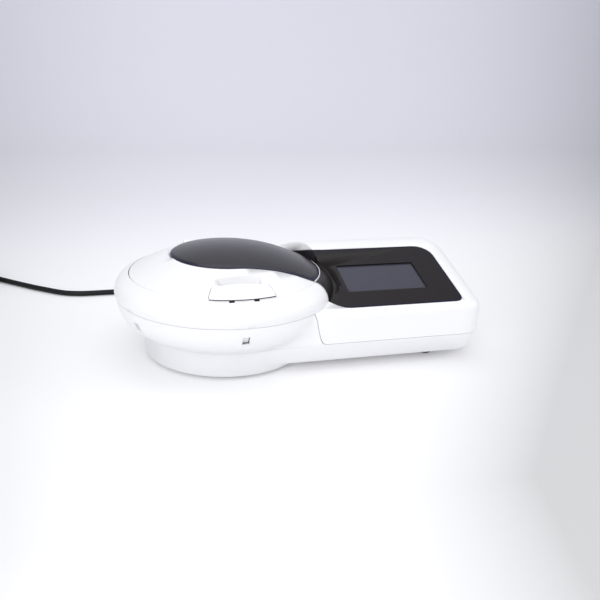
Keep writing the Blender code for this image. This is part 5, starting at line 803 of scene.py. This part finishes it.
def on_flare(vert):
    """Whether a vertex lies on the cone that surrounds the lid."""
    radius = math.hypot(vert.co.x - BOWL_X, vert.co.y)
    cone = LID_OPENING_RADIUS + FLARE_SLOPE * (vert.co.z - RING_TOP)
    return vert.co.z > RING_TOP + FLARE_START and abs(radius - cone) < FLARE_REACH


bm = merged("upper_housing")
flare_edges = [item for item in sharp_edges(bm)
               if all(on_flare(vert) for vert in item.verts) and item.verts[0].co.y > PANEL_HIGH.y]
print(len(flare_edges), "edges round the flare")
round_off(bm, flare_edges, FLARE_ROUND, FLARE_SEGMENTS)
put("upper_housing_moulding", bm, "white_casing", "root", "upper_housing")

# %% [markdown]
# ## Inlay of the lid
# The inlay is a thick, glossy window that follows the lid's crown and stands a millimetre proud of it,
# with a border that slopes down to its edge. Cutting it out of a sphere leaves thin triangles, which
# a gloss shows up. So a ring of vertices is laid along the inlay's edge, and each extrusion takes the
# ring further in and lifts it to the sphere that the crown is part of.

# %% Sizes of the crown and the inlay
LID_RISE = 0.025
DOME_RADIUS = (LID_RADIUS ** 2 + LID_RISE ** 2) / (2 * LID_RISE)
DOME_CENTRE_HEIGHT = RING_TOP + LID_RISE - DOME_RADIUS
INLAY_RADIUS = 0.0535
INLAY_HALF_DEPTH = 0.0545
INLAY_PROUD = 0.001
INLAY_THICKNESS = 0.0022
INLAY_BACK = INLAY_PROUD - INLAY_THICKNESS
INLAY_BAND = 0.003
LID_RIM = 0.0008


def dome_height(radius, proud):
    """Height of a sphere that stands proud of the lid's crown, at a distance from the lid's axis."""
    return DOME_CENTRE_HEIGHT + math.sqrt((DOME_RADIUS + proud) ** 2 - radius ** 2)


def inlay_reach(angle):
    """Distance from the lid's axis to the inlay's edge at an angle."""
    if math.cos(angle) < 0:
        return 1 / math.hypot(math.cos(angle) / INLAY_RADIUS, math.sin(angle) / INLAY_HALF_DEPTH)
    if abs(math.sin(angle)) * LID_RADIUS <= INLAY_HALF_DEPTH:
        return LID_RADIUS - LID_RIM
    return min(INLAY_HALF_DEPTH / abs(math.sin(angle)), LID_RADIUS - LID_RIM)


def on_crown(reach, angle, proud):
    """A point at a distance and angle from the lid's axis, proud of the crown."""
    return Vector((BOWL_X + reach * math.cos(angle), reach * math.sin(angle), dome_height(reach, proud)))


print("crown of radius", round(DOME_RADIUS, 4), "m")

# %% [markdown]
# The inlay's right end follows the lid's edge, its front and rear edges are straight, and its left
# end is half an ellipse. Each arc below has a start and an end in degrees and a number of steps. Each
# ring has a share of the way from the lid's axis, an inset and a height proud of the crown in metres,
# and a 1 where it is coloured blue.

# %% Rings of the inlay
INLAY_CORNER = math.degrees(math.asin(INLAY_HALF_DEPTH / LID_RADIUS))
INLAY_ARCS = ((-INLAY_CORNER, INLAY_CORNER, 36), (INLAY_CORNER, 90, 24), (90, 270, 96),
              (270, 360 - INLAY_CORNER, 24))
BORDER_RINGS = ((1, 0, 0, 1), (1, 0.0003, 0.0003, 1), (1, 0.0012, 0.00055, 1),
                (1, 0.0022, 0.00085, 1), (1, 0.0028, 0.00098, 1), (1, 0.0034, INLAY_PROUD, 0))
FIELD_SHARES = (0.95, 0.85, 0.72, 0.58, 0.44, 0.30, 0.16, 0.03)
BACK_SHARES = (0.75, 0.5, 0.25, 0.03)

front_rings = BORDER_RINGS + tuple((share, INLAY_BAND, INLAY_PROUD, 0) for share in FIELD_SHARES)
back_rings = tuple((share, 0, INLAY_BACK, 0) for share in BACK_SHARES)
angles = []
for start, end, steps in INLAY_ARCS:
    angles += [math.radians(start + (end - start) * step / steps) for step in range(steps)]
print(len(front_rings) + len(back_rings), "rings of", len(angles), "points")

# %% Inlay
bm = bmesh.new()
border = bm.verts.layers.float.new("border")
circle = bmesh.ops.create_circle(bm, cap_ends=False, segments=len(angles), radius=1)["verts"]
edge_ring = list(bm.edges)
for vert, angle in zip(circle, angles):
    vert.co = on_crown(inlay_reach(angle), angle, INLAY_BACK)
    vert[border] = 1


def draw_rings(edges, rings):
    """Extrude a ring of edges again and again, each time to its place on the crown, and close the last."""
    for share, inset, proud, painted in rings:
        made = bmesh.ops.extrude_edge_only(bm, edges=edges)["geom"]
        edges = [item for item in made if isinstance(item, bmesh.types.BMEdge)
                 and all(vert in made for vert in item.verts)]
        for vert in made:
            if isinstance(vert, bmesh.types.BMVert):
                angle = math.atan2(vert.co.y, vert.co.x - BOWL_X)
                vert.co = on_crown((inlay_reach(angle) - inset) * share, angle, proud)
                vert[border] = painted
    bmesh.ops.holes_fill(bm, edges=edges, sides=0)


draw_rings(edge_ring, front_rings)
draw_rings(edge_ring, back_rings)
bmesh.ops.recalc_face_normals(bm, faces=bm.faces)
print("inlay", len(bm.faces), "faces, top at", round(max(vert.co.z for vert in bm.verts), 4))
put("lid_inlay_window", bm, "dark_gloss", "lid", "lid_inlay")

# %% [markdown]
# The frame's lid and latch lever are cut from the same sphere, with long, thin triangles beside each
# cut. Shading blends the directions of those faces, which shows as faint patches on a white crown.
# The true direction at a point of a sphere is known, so the corners of the faces that lie on the
# crown are given that one. A finer mesh would also do, at many times the faces.

# %% True directions on the crown
CROWN_REACH = 0.00006


def crowned(thing):
    """Shade the faces that lie on the lid's crown with the sphere's own directions."""
    mesh = thing.data
    centre = Vector((BOWL_X, 0, DOME_CENTRE_HEIGHT))
    directions = [(0, 0, 0)] * len(mesh.loops)
    count = 0
    for face in mesh.polygons:
        arms = [mesh.vertices[index].co - centre for index in face.vertices]
        if all(abs(arm.length - DOME_RADIUS) < CROWN_REACH for arm in arms):
            count += 1
            for loop, arm in zip(face.loop_indices, arms):
                directions[loop] = arm.normalized()
    mesh.normals_split_custom_set(directions)
    return count


for node in ("lid_shell", "latch_lever"):
    print(node, crowned(pieces[node + "_moulding"]), "faces on the crown")

# %% [markdown]
# Where the inlay ends at the lid's edge, a thin white rim closes it off. A strip could be cut from the
# lid, but the rim is turned: a small rectangle with one corner cut off is spun part of the way round
# the lid's axis, which gives it an even width.

# %% Rim at the end of the inlay
RIM_STEPS = 40
RIM_PROUD = 0.0007
RIM_CHAMFER = RIM_PROUD / 3
RIM_GAP = 0.00008

rim_inner = LID_RADIUS - LID_RIM + RIM_GAP
rim_low = dome_height(LID_RADIUS, INLAY_BACK)
rim_high = dome_height(LID_RADIUS, RIM_PROUD)
rim_start = math.radians(-INLAY_CORNER)
rim_profile = ((rim_inner, rim_low), (LID_RADIUS, rim_low), (LID_RADIUS, rim_high - RIM_CHAMFER),
               (LID_RADIUS - RIM_CHAMFER, rim_high), (rim_inner, rim_high))
bm = bmesh.new()
corners = [bm.verts.new((BOWL_X + radius * math.cos(rim_start), radius * math.sin(rim_start), height))
           for radius, height in rim_profile]
section = bm.faces.new(corners)
bmesh.ops.spin(bm, geom=[section], cent=(BOWL_X, 0, 0), axis=(0, 0, 1), angle=-2 * rim_start, steps=RIM_STEPS,
               use_merge=False, use_duplicate=False)
bmesh.ops.recalc_face_normals(bm, faces=bm.faces)
print("rim", len(bm.faces), "faces")
put("lid_inlay_rim", bm, "white_casing", "lid")

# %% [markdown]
# ## Painted shade at the front edge of the latch
# A dark line of shade runs between the latch lever and the ring. A narrow gap gives too pale
# a line, so the lever's front edge gets a thin black skin that paints this shade: its own front faces,
# copied and given a thickness, which keeps the skin true to the lever.

# %% Latch edge
LATCH_SHADE_SKIN = 0.00015
LATCH_SHADE_LOW = 0.0780
LATCH_SHADE_FLATTEST = 0.9


def on_latch_front(face):
    """Whether a face of the lever belongs to its front edge, and not to its top."""
    middle = face.calc_center_median()
    outside = math.hypot(middle.x - BOWL_X, middle.y) > LID_RADIUS - LID_RIM
    return outside and middle.z > LATCH_SHADE_LOW and face.normal.z < LATCH_SHADE_FLATTEST


bm = merged("latch_lever")
bmesh.ops.delete(bm, geom=[face for face in bm.faces if not on_latch_front(face)], context='FACES')
print("latch edge", len(bm.faces), "faces of the lever")
bmesh.ops.solidify(bm, geom=list(bm.faces), thickness=-LATCH_SHADE_SKIN)
bmesh.ops.recalc_face_normals(bm, faces=bm.faces)
# The black skin is painted shade at the lever's front edge.
put("latch_edge_painted_shade", bm, "black_plastic", "latch")

# %% [markdown]
# ## Painted shade in the slots of the latch hooks
# In front of each hook of the latch sits a small black face, which paints the shade in the slot of
# the ring as a dark mark. A cube scaled to size, with all its edges beveled, is enough for a piece of this
# size.

# %% Hook faces
HOOK_SPACING = 0.022
HOOK_SHADE_LOW = (-0.0019, -0.09250, 0.0762)
HOOK_SHADE_HIGH = (0.0019, -0.09215, 0.0782)
HOOK_SHADE_EDGE = 0.00008


def rounded_block(low, high, edge):
    """A bmesh of a block between two corners, with its edges beveled."""
    bm = bmesh.new()
    bmesh.ops.create_cube(bm, size=1)
    bmesh.ops.scale(bm, vec=high - low, verts=bm.verts)
    bmesh.ops.translate(bm, vec=(low + high) / 2, verts=bm.verts)
    round_off(bm, list(bm.edges), edge, EDGE_SEGMENTS)
    return bm


for number, side in ((1, -1), (2, 1)):
    shift = Vector((BOWL_X + side * HOOK_SPACING / 2, 0, 0))
    bm = rounded_block(Vector(HOOK_SHADE_LOW) + shift, Vector(HOOK_SHADE_HIGH) + shift, HOOK_SHADE_EDGE)
    # Each black face is painted shade in a slot of the ring.
    put(f"latch_hook_slot_shade_{number}", bm, "black_plastic", "latch")
print("hook faces", HOOK_SPACING, "m apart")

# %% [markdown]
# ## Pad of the pressure plate
# Under the sprung plate lies a foam pad that evens out the pressure. Cut foam has soft edges: its face
# is full in the middle and falls away towards the sides, and its corners are round. Simulated cloth
# suits a stuffed pad, but this one is thin and cut. A fine grid takes its form well, because every
# vertex can be moved by the same two rules. One keeps the middle full, and one rounds the corners.

# %% Rules of the foam pad
PAD_STEPS = (52, 34)
PAD_CORNER = 0.006
PAD_EDGE_FALL = 0.0008
PAD_SIDE_DRAW = 0.0004
PAD_FULLNESS_POWERS = (10, 8)

pad_low, pad_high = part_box("pressure_pad")
pad_middle = (pad_low + pad_high) / 2
pad_half = (pad_high - pad_low) / 2


def fullness(across, along):
    """How full the pad's face is at a place, which is 1 in the middle and 0 at the sides."""
    return (1 - across ** PAD_FULLNESS_POWERS[0]) * (1 - along ** PAD_FULLNESS_POWERS[1])


def round_corner(x, y):
    """Move a place near a corner of the pad, so that the corner's square becomes a quarter disc."""
    over_x = abs(x) - (pad_half.x - PAD_CORNER)
    over_y = abs(y) - (pad_half.y - PAD_CORNER)
    if over_x <= 0 or over_y <= 0:
        return x, y
    a, b = over_x / PAD_CORNER, over_y / PAD_CORNER
    x = math.copysign(pad_half.x - PAD_CORNER + PAD_CORNER * a * math.sqrt(max(1 - b * b / 2, 0)), x)
    y = math.copysign(pad_half.y - PAD_CORNER + PAD_CORNER * b * math.sqrt(max(1 - a * a / 2, 0)), y)
    return x, y


print("foam pad", round(pad_half.x * 2, 4), "x", round(pad_half.y * 2, 4), "m")

# %% Foam pad
bm = bmesh.new()
bmesh.ops.create_grid(bm, x_segments=PAD_STEPS[0], y_segments=PAD_STEPS[1], size=1)
lifted = bmesh.ops.extrude_face_region(bm, geom=list(bm.faces), use_keep_orig=True)["geom"]
upper = {item for item in lifted if isinstance(item, bmesh.types.BMVert)}
for vert in bm.verts:
    across, along = vert.co.x, vert.co.y
    if vert in upper:
        draw, z = 0, pad_high.z
    else:
        draw, z = PAD_SIDE_DRAW, pad_low.z + PAD_EDGE_FALL * (1 - fullness(across, along))
    x, y = round_corner(across * (pad_half.x - draw), along * (pad_half.y - draw))
    vert.co = (pad_middle.x + x, pad_middle.y + y, z)
bmesh.ops.recalc_face_normals(bm, faces=bm.faces)
foam_pad = put("pressure_foam_pad", bm, "pad_foam", "pressure", "pressure_pad")
print("foam pad", len(foam_pad.data.polygons), "faces")

# %% [markdown]
# ## Springs of the pressure plate
# When the plate is pushed up into the lid, its four springs get shorter. A rigid spring would then
# stick out through the plate. Their upper ends stay in the lid's cups. Each spring here is a smooth
# copy of its solid, with a mesh of its own.

# %% Springs
SPRING_COUNT = 4

for number in range(1, SPRING_COUNT + 1):
    node = f"pressure_spring_{number}"
    spring = softened(node, node + "_wire", 0)
    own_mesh(spring)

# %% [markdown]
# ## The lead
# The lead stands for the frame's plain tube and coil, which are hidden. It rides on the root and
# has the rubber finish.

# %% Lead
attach(lead, "root")
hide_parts("mains_lead", "mains_lead_coil")
lead.data.materials.append(FINISHES["cord_rubber"])
